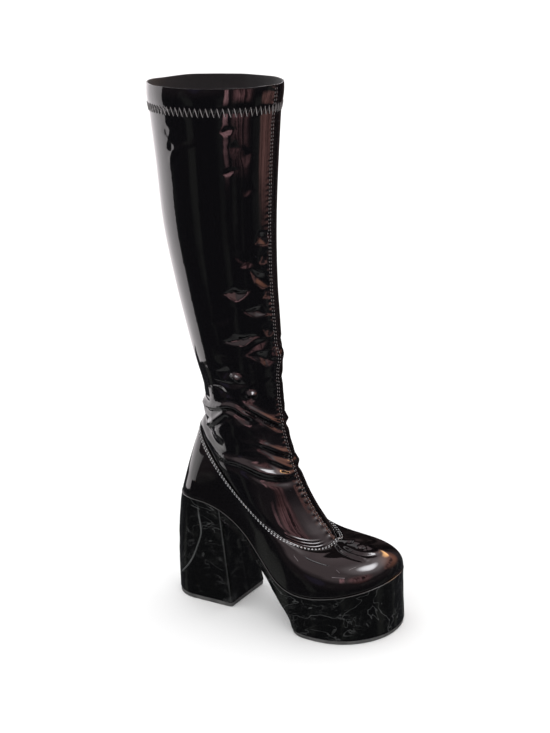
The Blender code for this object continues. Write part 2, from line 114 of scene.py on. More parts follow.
def through(rows, values, at):
    rows, values = np.asarray(rows, float), np.asarray(values, float)
    slopes = np.gradient(values, rows)
    at = np.clip(np.asarray(at, float), rows[0], rows[-1])
    i = np.clip(np.searchsorted(rows, at) - 1, 0, len(rows) - 2)
    span = rows[i + 1] - rows[i]
    f = (at - rows[i]) / span
    return ((1 + 2 * f) * (1 - f) ** 2 * values[i] + f * (1 - f) ** 2 * span * slopes[i]
            + f**2 * (3 - 2 * f) * values[i + 1] - f**2 * (1 - f) * span * slopes[i + 1])


def curveThrough(marks, count):  # a smooth curve through marks, one row for each of their columns
    marks = np.array(marks, float)
    at = np.linspace(0, len(marks) - 1, count)
    return [through(range(len(marks)), column, at) for column in marks.T]


def soleAt(name, x):
    return through(sole["x"], sole[name], x)


def soleEdge(x, side, grow=0.0):  # side -1 is the outer edge, 1 the inner
    intoHeel = np.clip(1 - (x - soleEnds["back"] + grow) / soleEnds["heelRound"], 0, 1)
    intoToe = np.clip((x - soleEnds["toe"] - grow + soleEnds["toeRound"]) / soleEnds["toeRound"], 0, 1)
    square = soleEnds["toeSquare"]
    rounding = np.sqrt(1 - intoHeel**2) * (1 - intoToe**square) ** (1 / square)
    return soleAt("centre", x) + side * (soleAt("outer" if side < 0 else "inner", x) + grow) * rounding


def ringShare(angle):  # 0 at the back of a ring, 1 at its front
    return (1 - np.cos(angle)) / 2


def featherPoint(angle):
    share = ringShare(angle)
    share = share - soleEnds["ease"] * share**2 * (1 - share)
    x = soleEnds["back"] + (soleEnds["toe"] - soleEnds["back"]) * share
    y = np.where(np.sin(angle) > 0, soleEdge(x, -1), soleEdge(x, 1))
    return np.stack([x, y, soleAt("height", x)], axis=-1)


def legPoint(angle, level):
    angle, level = np.broadcast_arrays(np.asarray(angle, float), np.asarray(level, float))
    at = {name: through(range(len(values)), values, level) for name, values in leg.items()}
    share, around = ringShare(angle), np.sin(angle)
    fuller = 1 + at["swell"] * (share - 0.5)
    half = np.where(around > 0, at["outer"], at["inner"])
    x = at["backX"] + (at["frontX"] - at["backX"]) * share
    z = at["backZ"] + (at["frontZ"] - at["backZ"]) * share - at["dip"] * fuller * np.abs(around)
    return np.stack([x, -half * fuller * around, z], axis=-1)


def surfaceFrame(point, angle, at, step=1e-3):  # outward direction, and mm per radian and per level
    around = (point(angle + step, at) - point(angle - step, at)) / (2 * step)
    up = (point(angle, at + step) - point(angle, at - step)) / (2 * step)
    return unit(np.cross(around, up)), np.linalg.norm(around, axis=-1), np.linalg.norm(up, axis=-1)


def waves(points, size, stretch=1.0, seed=0.0):  # smooth noise from -1 to 1, longer along z by stretch
    flat = np.asarray(points, float).reshape(-1, 3) / (size, size, size * stretch) + seed
    return np.array([noise.noise(p) for p in flat.tolist()]).reshape(np.shape(points)[:-1])


def foldRelief(points, path, across, height, width, hollow, flat=False):
    # a soft ridge along a path, or one with flat flanks
    # its hollow lies on the side that across points away from
    places = points.reshape(-1, 3)
    far = ((places[:, None] - path[None]) ** 2).sum(-1)
    near = far.argmin(1)
    away = np.sqrt(far[np.arange(len(places)), near])
    below = ((places - path[near]) * across[near]).sum(-1) < 0
    along = near / (len(path) - 1)
    fade = smoothStep(0, foldShape["fade"], np.minimum(along, 1 - along) + foldShape["start"])
    ridge = np.clip(1 - away / width, 0, 1) if flat else bell(away, width)
    trough = bell(away - foldShape["hollowAt"] * width, width) * below * hollow
    return (height * fade * (ridge - trough)).reshape(points.shape[:-1])


def surfaceFolds(points, folds, surface):
    relief = np.zeros(points.shape[:-1])
    for marks, height, width, hollow, *flat in folds.values():
        angle, level = curveThrough(marks, foldShape["steps"])
        angle = np.radians(angle)
        path = surface(angle, level)
        outward = surfaceFrame(surface, angle, level)[0]
        across = np.cross(outward, np.gradient(path, axis=0))
        relief += foldRelief(points, path, across, height, width, hollow, *flat)
    return relief


def addNode(tree, kind, inputs=None, **settings):
    node = tree.nodes.new(kind)
    for key, value in settings.items():
        setattr(node, key, value)
    for key, value in (inputs or {}).items():
        if isinstance(value, bpy.types.NodeSocket):
            tree.links.new(value, node.inputs[key])
        else:
            node.inputs[key].default_value = value
    return node


def mathNode(tree, operation, a, b=0.0, **settings):
    return addNode(tree, "ShaderNodeMath", {0: a, 1: b}, operation=operation, **settings).outputs[0]


def vectorNode(tree, operation, a, b=None, scale=None):
    given = {0: a, 1: b, "Scale": scale}
    sockets = {key: value for key, value in given.items() if value is not None}
    outputs = addNode(tree, "ShaderNodeVectorMath", sockets, operation=operation).outputs
    return outputs["Value" if operation in ("DOT_PRODUCT", "DISTANCE", "LENGTH") else "Vector"]


def remap(tree, value, fromMin, fromMax, toMin=0.0, toMax=1.0):
    sockets = {"Value": value, "From Min": fromMin, "From Max": fromMax, "To Min": toMin, "To Max": toMax}
    return addNode(tree, "ShaderNodeMapRange", sockets, interpolation_type="SMOOTHSTEP").outputs[0]


def mixColour(tree, factor, a, b, clamp=False):
    a, b = [c if isinstance(c, bpy.types.NodeSocket) else (*c, 1) for c in (a, b)]
    sockets = {0: factor, 6: a, 7: b}
    return addNode(tree, "ShaderNodeMix", sockets, data_type="RGBA", clamp_factor=clamp).outputs[2]


def objectPlace(tree):
    return addNode(tree, "ShaderNodeTexCoord").outputs["Object"]


def stretched(tree, at, scale, rotation=(0, 0, 0)):
    return addNode(tree, "ShaderNodeMapping", {"Vector": at, "Rotation": rotation, "Scale": scale}).outputs[0]


def noiseNode(tree, at, scale, detail=2.0, **more):
    sockets = {"Vector": at, "Scale": scale, "Detail": detail, **more}
    return addNode(tree, "ShaderNodeTexNoise", sockets).outputs[0]


def attributeNode(tree, name):
    return addNode(tree, "ShaderNodeAttribute", attribute_name=name).outputs["Fac"]


def startGroup(name, inputs, outputs):
    tree = bpy.data.node_groups.new(name, "ShaderNodeTree")
    for label, value in inputs.items():
        socket = tree.interface.new_socket(name=label, in_out="INPUT", socket_type="NodeSocketFloat")
        socket.default_value = value
    for label in outputs:
        tree.interface.new_socket(name=label, in_out="OUTPUT", socket_type="NodeSocketFloat")
    return tree, tree.nodes.new("NodeGroupInput").outputs, tree.nodes.new("NodeGroupOutput").inputs


def makeFilmRipple():  # the slight unevenness of a glossy film over its backing
    looks = {"soften": 0.45, "finer": 11.0}
    tree, given, put = startGroup("filmRipple", {"Size": 60.0, "Fine": 0.3}, ["Height"])
    at = objectPlace(tree)
    broad = noiseNode(tree, at, given["Size"], Roughness=looks["soften"])
    fine = noiseNode(tree, at, mathNode(tree, "MULTIPLY", given["Size"], looks["finer"]), 1.0)
    fineHeight = mathNode(tree, "MULTIPLY", fine, given["Fine"])
    tree.links.new(mathNode(tree, "ADD", broad, fineHeight), put["Height"])
    return tree


def makeHandlingMarks():  # hairline scratches and dull smears
    looks = {"turns": ((0.5, 0.35, 0.4), (1.9, 1.33, 0.4)), "finer": 9.0, "drawnOut": 0.13,
             "hairsShown": (0.70, 0.78), "smearsShown": (0.72, 0.95)}
    tree, given, put = startGroup("handlingMarks", {"Scale": 60.0, "Cover": 0.3}, ["Marks", "Smears"])
    at = objectPlace(tree)
    hairScale = mathNode(tree, "MULTIPLY", given["Scale"], looks["finer"])
    hairs = []
    for turn in looks["turns"]:
        hair = noiseNode(tree, stretched(tree, at, (1, looks["drawnOut"], 1), turn), hairScale)
        hairs.append(remap(tree, hair, *looks["hairsShown"]))
    patch = mathNode(tree, "ADD", noiseNode(tree, at, given["Scale"], 3.0), given["Cover"])
    cover = remap(tree, patch, *looks["smearsShown"])
    tree.links.new(mathNode(tree, "MULTIPLY", mathNode(tree, "MAXIMUM", *hairs), cover), put["Marks"])
    tree.links.new(cover, put["Smears"])
    return tree


def makeWeave():  # crossing yarns of the lining and the zip's tape
    looks = {"directions": ("Z", "DIAGONAL"), "mottle": 220.0}
    tree, given, put = startGroup("weave", {"Scale": 900.0, "Slant": 0.0}, ["Height", "Shade"])
    at = objectPlace(tree)
    yarn = {"Vector": at, "Scale": given["Scale"], "Distortion": given["Slant"], "Detail": 1.0}
    yarns = [addNode(tree, "ShaderNodeTexWave", yarn, bands_direction=direction).outputs["Fac"]
             for direction in looks["directions"]]
    height = mathNode(tree, "MULTIPLY", *yarns)
    tree.links.new(height, put["Height"])
    shade = mathNode(tree, "MULTIPLY", height, noiseNode(tree, at, looks["mottle"], 3.0))
    tree.links.new(shade, put["Shade"])
    return tree


filmRipple, handlingMarks, weave = makeFilmRipple(), makeHandlingMarks(), makeWeave()


def useGroup(tree, group, **inputs):
    return addNode(tree, "ShaderNodeGroup", inputs, node_tree=group).outputs


def startMaterial(name, **constants):
    made = bpy.data.materials.new(name)
    made.use_nodes = True
    tree = made.node_tree
    shader = tree.nodes["Principled BSDF"]
    for key, value in constants.items():
        shader.inputs[key.replace("_", " ")].default_value = value
    return made, tree, shader


def dress(tree, shader, mask, colours, roughness, height, bump):
    # two colours mixed by a mask, a roughness, and a fine relief of some strength and depth
    tree.links.new(mixColour(tree, mask, *colours), shader.inputs["Base Color"])
    tree.links.new(roughness, shader.inputs["Roughness"])
    strength, depth = bump
    relief = addNode(tree, "ShaderNodeBump", {"Height": height, "Strength": strength, "Distance": depth})
    tree.links.new(relief.outputs[0], shader.inputs["Normal"])


def addPaintedMarbling(tree, looks):  # painted reflection: pale wandering lines and flecks standing in for the marbled reflections in the cover's film, plus the heel's painted crease highlight and paler corners
    at = objectPlace(tree)
    level = stretched(tree, at, (1, 1, looks["level"]))
    total = None
    for scale, width, patchLow, strength in looks["lines"]:
        flow = noiseNode(tree, level, scale, 3.0, Roughness=0.5, Distortion=looks["wander"])
        line = mathNode(tree, "ABSOLUTE", mathNode(tree, "SUBTRACT", flow, 0.5))
        patch = noiseNode(tree, at, scale * looks["patchScale"])
        shown = remap(tree, patch, patchLow, patchLow + looks["patchSoft"], 0.0, strength)
        line = mathNode(tree, "MULTIPLY", remap(tree, line, width, 0.0), shown)
        total = line if total is None else mathNode(tree, "MAXIMUM", total, line)
    paintedFleck = noiseNode(tree, level, looks["fleckScale"], 7.0, Roughness=0.65, Distortion=looks["fleckWander"])
    paintedFleck = remap(tree, paintedFleck, *looks["flecksShown"], 0.0, looks["fleckStrength"])
    # scales the heel's painted crease highlight and paler corners
    highlightAndPaleCorners = remap(tree, patch, *looks["highlightAndCornerPatches"], *looks["highlightAndCornerStrength"])
    marked = mathNode(tree, "MULTIPLY", attributeNode(tree, "highlightAndPaleCorners"), highlightAndPaleCorners)
    return mathNode(tree, "ADD", mathNode(tree, "MAXIMUM", total, paintedFleck), marked)


def addScuffs(tree, scuffs):  # single short scrapes, each from one point to another, in mm
    at = objectPlace(tree)
    total = 0.0
    for start, end, half, strength in scuffs:
        start, run = toFrame(start), (np.array(end) - start) * mm
        away = vectorNode(tree, "SUBTRACT", at, b=tuple(start))
        share = vectorNode(tree, "DOT_PRODUCT", away, b=tuple(run / (run @ run)))
        share = mathNode(tree, "MULTIPLY", share, 1.0, use_clamp=True)
        nearest = vectorNode(tree, "SCALE", tuple(run), scale=share)
        gap = vectorNode(tree, "DISTANCE", away, b=nearest)
        total = mathNode(tree, "ADD", remap(tree, gap, half * mm, 0.0, 0.0, strength), total)
    return total


patentFilm = {"ior": 1.5, "markDull": 0.25, "depth": 0.0012}
patentLooks = {
    "pumpPatent": {
        "colours": ((0.0021, 0.0018, 0.0021), (0.02, 0.018, 0.019)), "roughness": 0.05,
        "rippleSize": 70.0, "orangePeel": 0.06, "rippleStrength": 0.06,
        "markSize": 55.0, "markCover": 0.22, "smearDull": 0.05,
        "scuffs": [  # start, end, half width, strength
            ((193.6, -45.7, 65.3), (204.2, -41.3, 65.0), 0.5, 9.0),
            ((152.3, -43.4, 76.9), (157.7, -45.5, 73.8), 0.5, 6.0),
            ((205.1, -34.1, 70.5), (209.3, -28.3, 72.1), 0.45, 6.0),
            ((194.9, -39.5, 70.5), (198.5, -40.4, 68.7), 0.45, 5.0),
        ],
    },
    "shaftPatent": {
        "colours": ((0.0019, 0.0017, 0.0022), (0.012, 0.011, 0.013)), "roughness": 0.045,
        "rippleSize": 90.0, "orangePeel": 0.08, "rippleStrength": 0.09,
        "markSize": 40.0, "markCover": 0.16, "smearDull": 0.04,
    },
    # painted highlight: far paler than the other patent finishes, so the joint shows a light line
    "beadHighlightPatent": {
        "colours": ((0.036, 0.036, 0.036), (0.14, 0.14, 0.14)), "roughness": 0.16,
        "rippleSize": 90.0, "orangePeel": 0.1, "rippleStrength": 0.05,
        "markSize": 30.0, "markCover": 0.3, "smearDull": 0.1,
    },
    "coverPatent": {
        "colours": ((0.0019, 0.002, 0.002), (0.022, 0.0225, 0.0225)), "roughness": 0.05,
        "rippleSize": 95.0, "orangePeel": 0.04, "rippleStrength": 0.12,
        "markSize": 60.0, "markCover": 0.2, "smearDull": 0.05,
        # painted reflection: pale lines and flecks in place of the film's marbled reflections
        "paintedMarbling": {
            "level": 1.9, "wander": 1.1, "patchScale": 0.8, "patchSoft": 0.2,
            # scale, width, least patch and strength of each kind of line
            "lines": ((17.0, 0.011, 0.38, 1.6), (38.0, 0.016, 0.46, 1.5)),
            "fleckScale": 42.0, "fleckWander": 1.2, "flecksShown": (0.56, 0.72), "fleckStrength": 1.1,
            "highlightAndCornerPatches": (0.2, 0.6), "highlightAndCornerStrength": (2.5, 6.0),
        },
    },
}


def makePatent(name):
    looks = patentLooks[name]
    made, tree, shader = startMaterial(name, IOR=patentFilm["ior"])
    ripple = useGroup(tree, filmRipple, Size=looks["rippleSize"], Fine=looks["orangePeel"])
    marked = useGroup(tree, handlingMarks, Scale=looks["markSize"], Cover=looks["markCover"])
    pale = marked["Marks"]
    # adds the painted marbled reflection to the pale mask
    if "paintedMarbling" in looks:
        pale = mathNode(tree, "MAXIMUM", pale, addPaintedMarbling(tree, looks["paintedMarbling"]))
    if "scuffs" in looks:
        pale = mathNode(tree, "ADD", pale, addScuffs(tree, looks["scuffs"]))
    dull = mathNode(tree, "MULTIPLY", marked["Smears"], looks["smearDull"])
    dull = mathNode(tree, "ADD", dull, mathNode(tree, "MULTIPLY", marked["Marks"], patentFilm["markDull"]))
    roughness = mathNode(tree, "ADD", dull, looks["roughness"])
    bump = looks["rippleStrength"], patentFilm["depth"]
    dress(tree, shader, pale, looks["colours"], roughness, ripple["Height"], bump)
    return made


def makeRubber():
    looks = {"colours": ((0.04, 0.041, 0.041), (0.10, 0.10, 0.098)), "grainScale": 900.0, "grainShade": 0.35,
             "grainSpan": (0.2, 0.8), "roughness": (0.5, 0.75), "markScale": 80.0, "markCover": 0.35,
             "smearShade": 0.5, "bump": (0.25, 0.0004), "ior": 1.5}
    made, tree, shader = startMaterial("charcoalRubber", IOR=looks["ior"])
    grain = noiseNode(tree, objectPlace(tree), looks["grainScale"], 3.0)
    marked = useGroup(tree, handlingMarks, Scale=looks["markScale"], Cover=looks["markCover"])
    smears = mathNode(tree, "MULTIPLY", marked["Smears"], looks["smearShade"])
    mask = mathNode(tree, "ADD", smears, mathNode(tree, "MULTIPLY", grain, looks["grainShade"]))
    roughness = remap(tree, grain, *looks["grainSpan"], *looks["roughness"])
    dress(tree, shader, mask, looks["colours"], roughness, grain, looks["bump"])
    return made


def makeCloth(name, dark, pale, scale, roughness):
    looks = {"sheen": 0.25, "sheenRoughness": 0.4, "slant": 1.5, "roughSpread": 0.1, "bump": (0.35, 0.0003)}
    made, tree, shader = startMaterial(
        name, Sheen_Weight=looks["sheen"], Sheen_Roughness=looks["sheenRoughness"])
    yarn = useGroup(tree, weave, Scale=scale, Slant=looks["slant"])
    spread = looks["roughSpread"]
    rough = remap(tree, yarn["Height"], 0.0, 1.0, roughness + spread, roughness - spread)
    dress(tree, shader, yarn["Shade"], (dark, pale), rough, yarn["Height"], looks["bump"])
    return made


def makeThread(name, dark, pale, roughness):
    looks = {"sheen": 0.3, "plyScale": 1500.0, "plyBend": 2.0, "mottleScale": 260.0, "mottleSpan": (0.3, 0.7),
             "roughSpread": 0.15, "bump": (0.3, 0.0002)}
    made, tree, shader = startMaterial(name, Sheen_Weight=looks["sheen"])
    at = objectPlace(tree)
    twist = {"Vector": at, "Scale": looks["plyScale"], "Distortion": looks["plyBend"]}
    ply = addNode(tree, "ShaderNodeTexWave", twist, bands_direction="DIAGONAL").outputs["Fac"]
    mottle = noiseNode(tree, at, looks["mottleScale"])
    rough = remap(tree, mottle, *looks["mottleSpan"], roughness, roughness + looks["roughSpread"])
    dress(tree, shader, mathNode(tree, "MULTIPLY", ply, mottle), (dark, pale), rough, ply, looks["bump"])
    return made


def makeGunmetal():
    looks = {"colours": ((0.21, 0.20, 0.21), (0.27, 0.26, 0.27)), "roughness": (0.24, 0.32),
             "markScale": 260.0, "markCover": 0.4, "bump": (0.2, 0.0001)}
    made, tree, shader = startMaterial("gunmetal", Metallic=1.0)
    marked = useGroup(tree, handlingMarks, Scale=looks["markScale"], Cover=looks["markCover"])
    rough = remap(tree, marked["Smears"], 0.0, 1.0, *looks["roughness"])
    dress(tree, shader, marked["Smears"], looks["colours"], rough, marked["Marks"], looks["bump"])
    return made


pumpPatent, beadHighlightPatent = makePatent("pumpPatent"), makePatent("beadHighlightPatent")
shaftPatent, coverPatent = makePatent("shaftPatent"), makePatent("coverPatent")
charcoalRubber = makeRubber()
liningKnit = makeCloth("liningKnit", (0.010, 0.009, 0.010), (0.035, 0.033, 0.036), 1100.0, 0.75)
zipWeave = makeCloth("zipWeave", (0.013, 0.011, 0.015), (0.05, 0.044, 0.055), 1300.0, 0.55)
coilNylon = makeThread("coilNylon", (0.022, 0.018, 0.026), (0.075, 0.064, 0.082), 0.3)
paleThread = makeThread("paleThread", (0.42, 0.42, 0.43), (0.95, 0.95, 0.97), 0.35)
greyThread = makeThread("greyThread", (0.12, 0.11, 0.112), (0.42, 0.385, 0.39), 0.35)
seamThread = makeThread("seamThread", (0.07, 0.06, 0.06), (0.27, 0.235, 0.235), 0.38)
darkThread = makeThread("darkThread", (0.006, 0.0055, 0.006), (0.03, 0.027, 0.028), 0.4)
gunmetal = makeGunmetal()
print("materials made:", len(bpy.data.materials))


def newPiece(name, mesh, *materials):
    for finish in materials:
        mesh.materials.append(finish)
    mesh.shade_smooth()
    piece = bpy.data.objects.new(name, mesh)
    scene.collection.objects.link(piece)
    return piece


def finishPiece(piece, nodes=(), body="boot"):
    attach(piece, body)
    if nodes:
        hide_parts(*nodes)


def cleanMesh(mesh, merge=0.0, outward=False):
    bm = bmesh.new()
    bm.from_mesh(mesh)
    bmesh.ops.delete(bm, geom=[v for v in bm.verts if not v.link_faces], context="VERTS")
    if merge:
        bmesh.ops.remove_doubles(bm, verts=bm.verts, dist=merge)
    if outward:
        bmesh.ops.recalc_face_normals(bm, faces=bm.faces)
    bm.to_mesh(mesh)
    bm.free()


def gridMesh(name, points, closed, skip=None):
    rows, count = points.shape[:2]
    j, i = np.mgrid[0:rows - 1, 0:count if closed else count - 1]
    k = (i + 1) % count
    quads = np.stack([j * count + i, j * count + k, (j + 1) * count + k, (j + 1) * count + i], -1)
    keep = np.ones(i.shape, bool) if skip is None else ~skip(i, j)
    mesh = bpy.data.meshes.new(name)
    mesh.from_pydata(toFrame(points).reshape(-1, 3).tolist(), [], quads[keep].tolist())
    cleanMesh(mesh)
    return mesh


def addWall(piece, thickness, lining=1):  # lining is 1 where the inside has the piece's second material
    shell = piece.modifiers.new("wall", "SOLIDIFY")
    shell.thickness, shell.offset = thickness * mm, -1
    shell.material_offset = lining


def addBevel(piece, width, segments, limit):
    bevel = piece.modifiers.new("edges", "BEVEL")
    bevel.width, bevel.segments, bevel.limit_method = width * mm, segments, "ANGLE"
    bevel.angle_limit = math.radians(limit)


def ladderShell(name, rows, across, relief=None, highlightAndPaleCorners=None):
    # a closed shell from rows of an outer and an inner edge, lowest first
    weld = {"merge": 0.02, "sliver": 0.01}
    rows = np.array([np.stack(row) for row in rows])
    share = np.linspace(0, 1, across + 2)[None, :, None]
    patches = [rows[:, 0], rows[:, 1]]
    ends = [rows[:, :, end].swapaxes(0, 1) for end in (0, -1)]
    for outer, inner in (rows[0], rows[-1], *ends):
        patches.append(outer[:, None] * (1 - share) + inner[:, None] * share)
    bm = bmesh.new()
    for patch in patches:
        grid = [[bm.verts.new(p) for p in line] for line in patch.tolist()]
        for a, b in zip(grid, grid[1:]):
            for i in range(len(a) - 1):
                bm.faces.new((a[i], a[i + 1], b[i + 1], b[i]))
    bmesh.ops.remove_doubles(bm, verts=bm.verts, dist=weld["merge"])
    bmesh.ops.dissolve_degenerate(bm, edges=bm.edges, dist=weld["sliver"])
    bmesh.ops.recalc_face_normals(bm, faces=bm.faces)
    bm.normal_update()
    places = np.array([v.co for v in bm.verts])
    if relief:
        for v, h in zip(bm.verts, relief(places)):
            v.co += v.normal * h
    for v in bm.verts:
        v.co = Vector(toFrame(v.co))
    mesh = bpy.data.meshes.new(name)
    bm.to_mesh(mesh)
    bm.free()
    # for the heel this attribute carries the painted crease highlight and paler corners
    if highlightAndPaleCorners:
        mesh.attributes.new("highlightAndPaleCorners", "FLOAT", "POINT").data.foreach_set("value", highlightAndPaleCorners(places).tolist())
    return mesh


def makeStrandTree():  # a slim bead along each edge of a mesh, for stitches and the zip's coil
    beadFaces = {"Segments": 7, "Rings": 5, "Radius": 1.0}
    tree = bpy.data.node_groups.new("strands", "GeometryNodeTree")
    for label, kind in (("Geometry", "Geometry"), ("Radius", "Float"), ("Finish", "Material")):
        tree.interface.new_socket(name=label, in_out="INPUT", socket_type="NodeSocket" + kind)
    tree.interface.new_socket(name="Geometry", in_out="OUTPUT", socket_type="NodeSocketGeometry")
    given, put = tree.nodes.new("NodeGroupInput").outputs, tree.nodes.new("NodeGroupOutput").inputs
    ends = addNode(tree, "GeometryNodeInputMeshEdgeVertices").outputs
    keep = addNode(tree, "GeometryNodeCaptureAttribute", {"Geometry": given["Geometry"]}, domain="EDGE")
    keep.capture_items.new("VECTOR", "Run")
    run = vectorNode(tree, "SUBTRACT", ends["Position 2"], b=ends["Position 1"])
    tree.links.new(run, keep.inputs["Run"])
    run = keep.outputs["Run"]
    middles = addNode(tree, "GeometryNodeMeshToPoints", {"Mesh": keep.outputs["Geometry"]}, mode="EDGES")
    turn = addNode(tree, "FunctionNodeAlignRotationToVector", {"Vector": run}, axis="Z")
    half = mathNode(tree, "MULTIPLY", vectorNode(tree, "LENGTH", run), 0.5)
    size = addNode(tree, "ShaderNodeCombineXYZ", {0: given["Radius"], 1: given["Radius"], 2: half})
    bead = addNode(tree, "GeometryNodeMeshUVSphere", beadFaces)
    spread = addNode(tree, "GeometryNodeInstanceOnPoints", {
        "Points": middles.outputs["Points"], "Instance": bead.outputs["Mesh"],
        "Rotation": turn.outputs[0], "Scale": size.outputs[0]})
    real = addNode(tree, "GeometryNodeRealizeInstances", {"Geometry": spread.outputs[0]})
    smooth = addNode(tree, "GeometryNodeSetShadeSmooth", {"Geometry": real.outputs[0]})
    finish = addNode(tree, "GeometryNodeSetMaterial", {
        "Geometry": smooth.outputs[0], "Material": given["Finish"]})
    tree.links.new(finish.outputs[0], put["Geometry"])
    return tree


strandTree = makeStrandTree()


def makeStrands(name, runs, radius, finish):
    # runs are pairs of points in mm
    runs = toFrame(np.asarray(runs))
    mesh = bpy.data.meshes.new(name)
    mesh.from_pydata(runs.reshape(-1, 3).tolist(), [(2 * i, 2 * i + 1) for i in range(len(runs))], [])
    path = bpy.data.objects.new(name + "Path", mesh)
    scene.collection.objects.link(path)
    strands = path.modifiers.new("strands", "NODES")
    strands.node_group = strandTree
    given = {"Radius": radius * mm, "Finish": finish}
    for item in strandTree.interface.items_tree:
        if item.in_out == "INPUT" and item.name in given:
            strands[item.identifier] = given[item.name]
    bpy.context.view_layer.update()
    made = bpy.data.meshes.new_from_object(path.evaluated_get(bpy.context.evaluated_depsgraph_get()))
    path.modifiers.remove(strands)
    bpy.data.objects.remove(path)
    made.name = name
    made.materials.clear()
    made.materials.append(finish)
    made.polygons.foreach_set("material_index", [0] * len(made.polygons))
    piece = bpy.data.objects.new(name, made)
    scene.collection.objects.link(piece)
    finishPiece(piece)


def runLength(points):  # how far along a path each of its points is
    return np.concatenate([[0], np.cumsum(np.linalg.norm(np.diff(points, axis=0), axis=-1))])


def pickAlong(at, run, points):
    return np.stack([np.interp(at, run, points[:, c]) for c in range(3)], axis=-1)


def alongPath(points, thread):  # pairs of points for running stitches along a path
    run = runLength(points)
    count = max(1, int(run[-1] / thread["pitch"]))
    starts = np.arange(count) * run[-1] / count
    ends = starts + thread["pitch"] * thread["fill"]
    return np.stack([pickAlong(starts, run, points), pickAlong(ends, run, points)], axis=1)


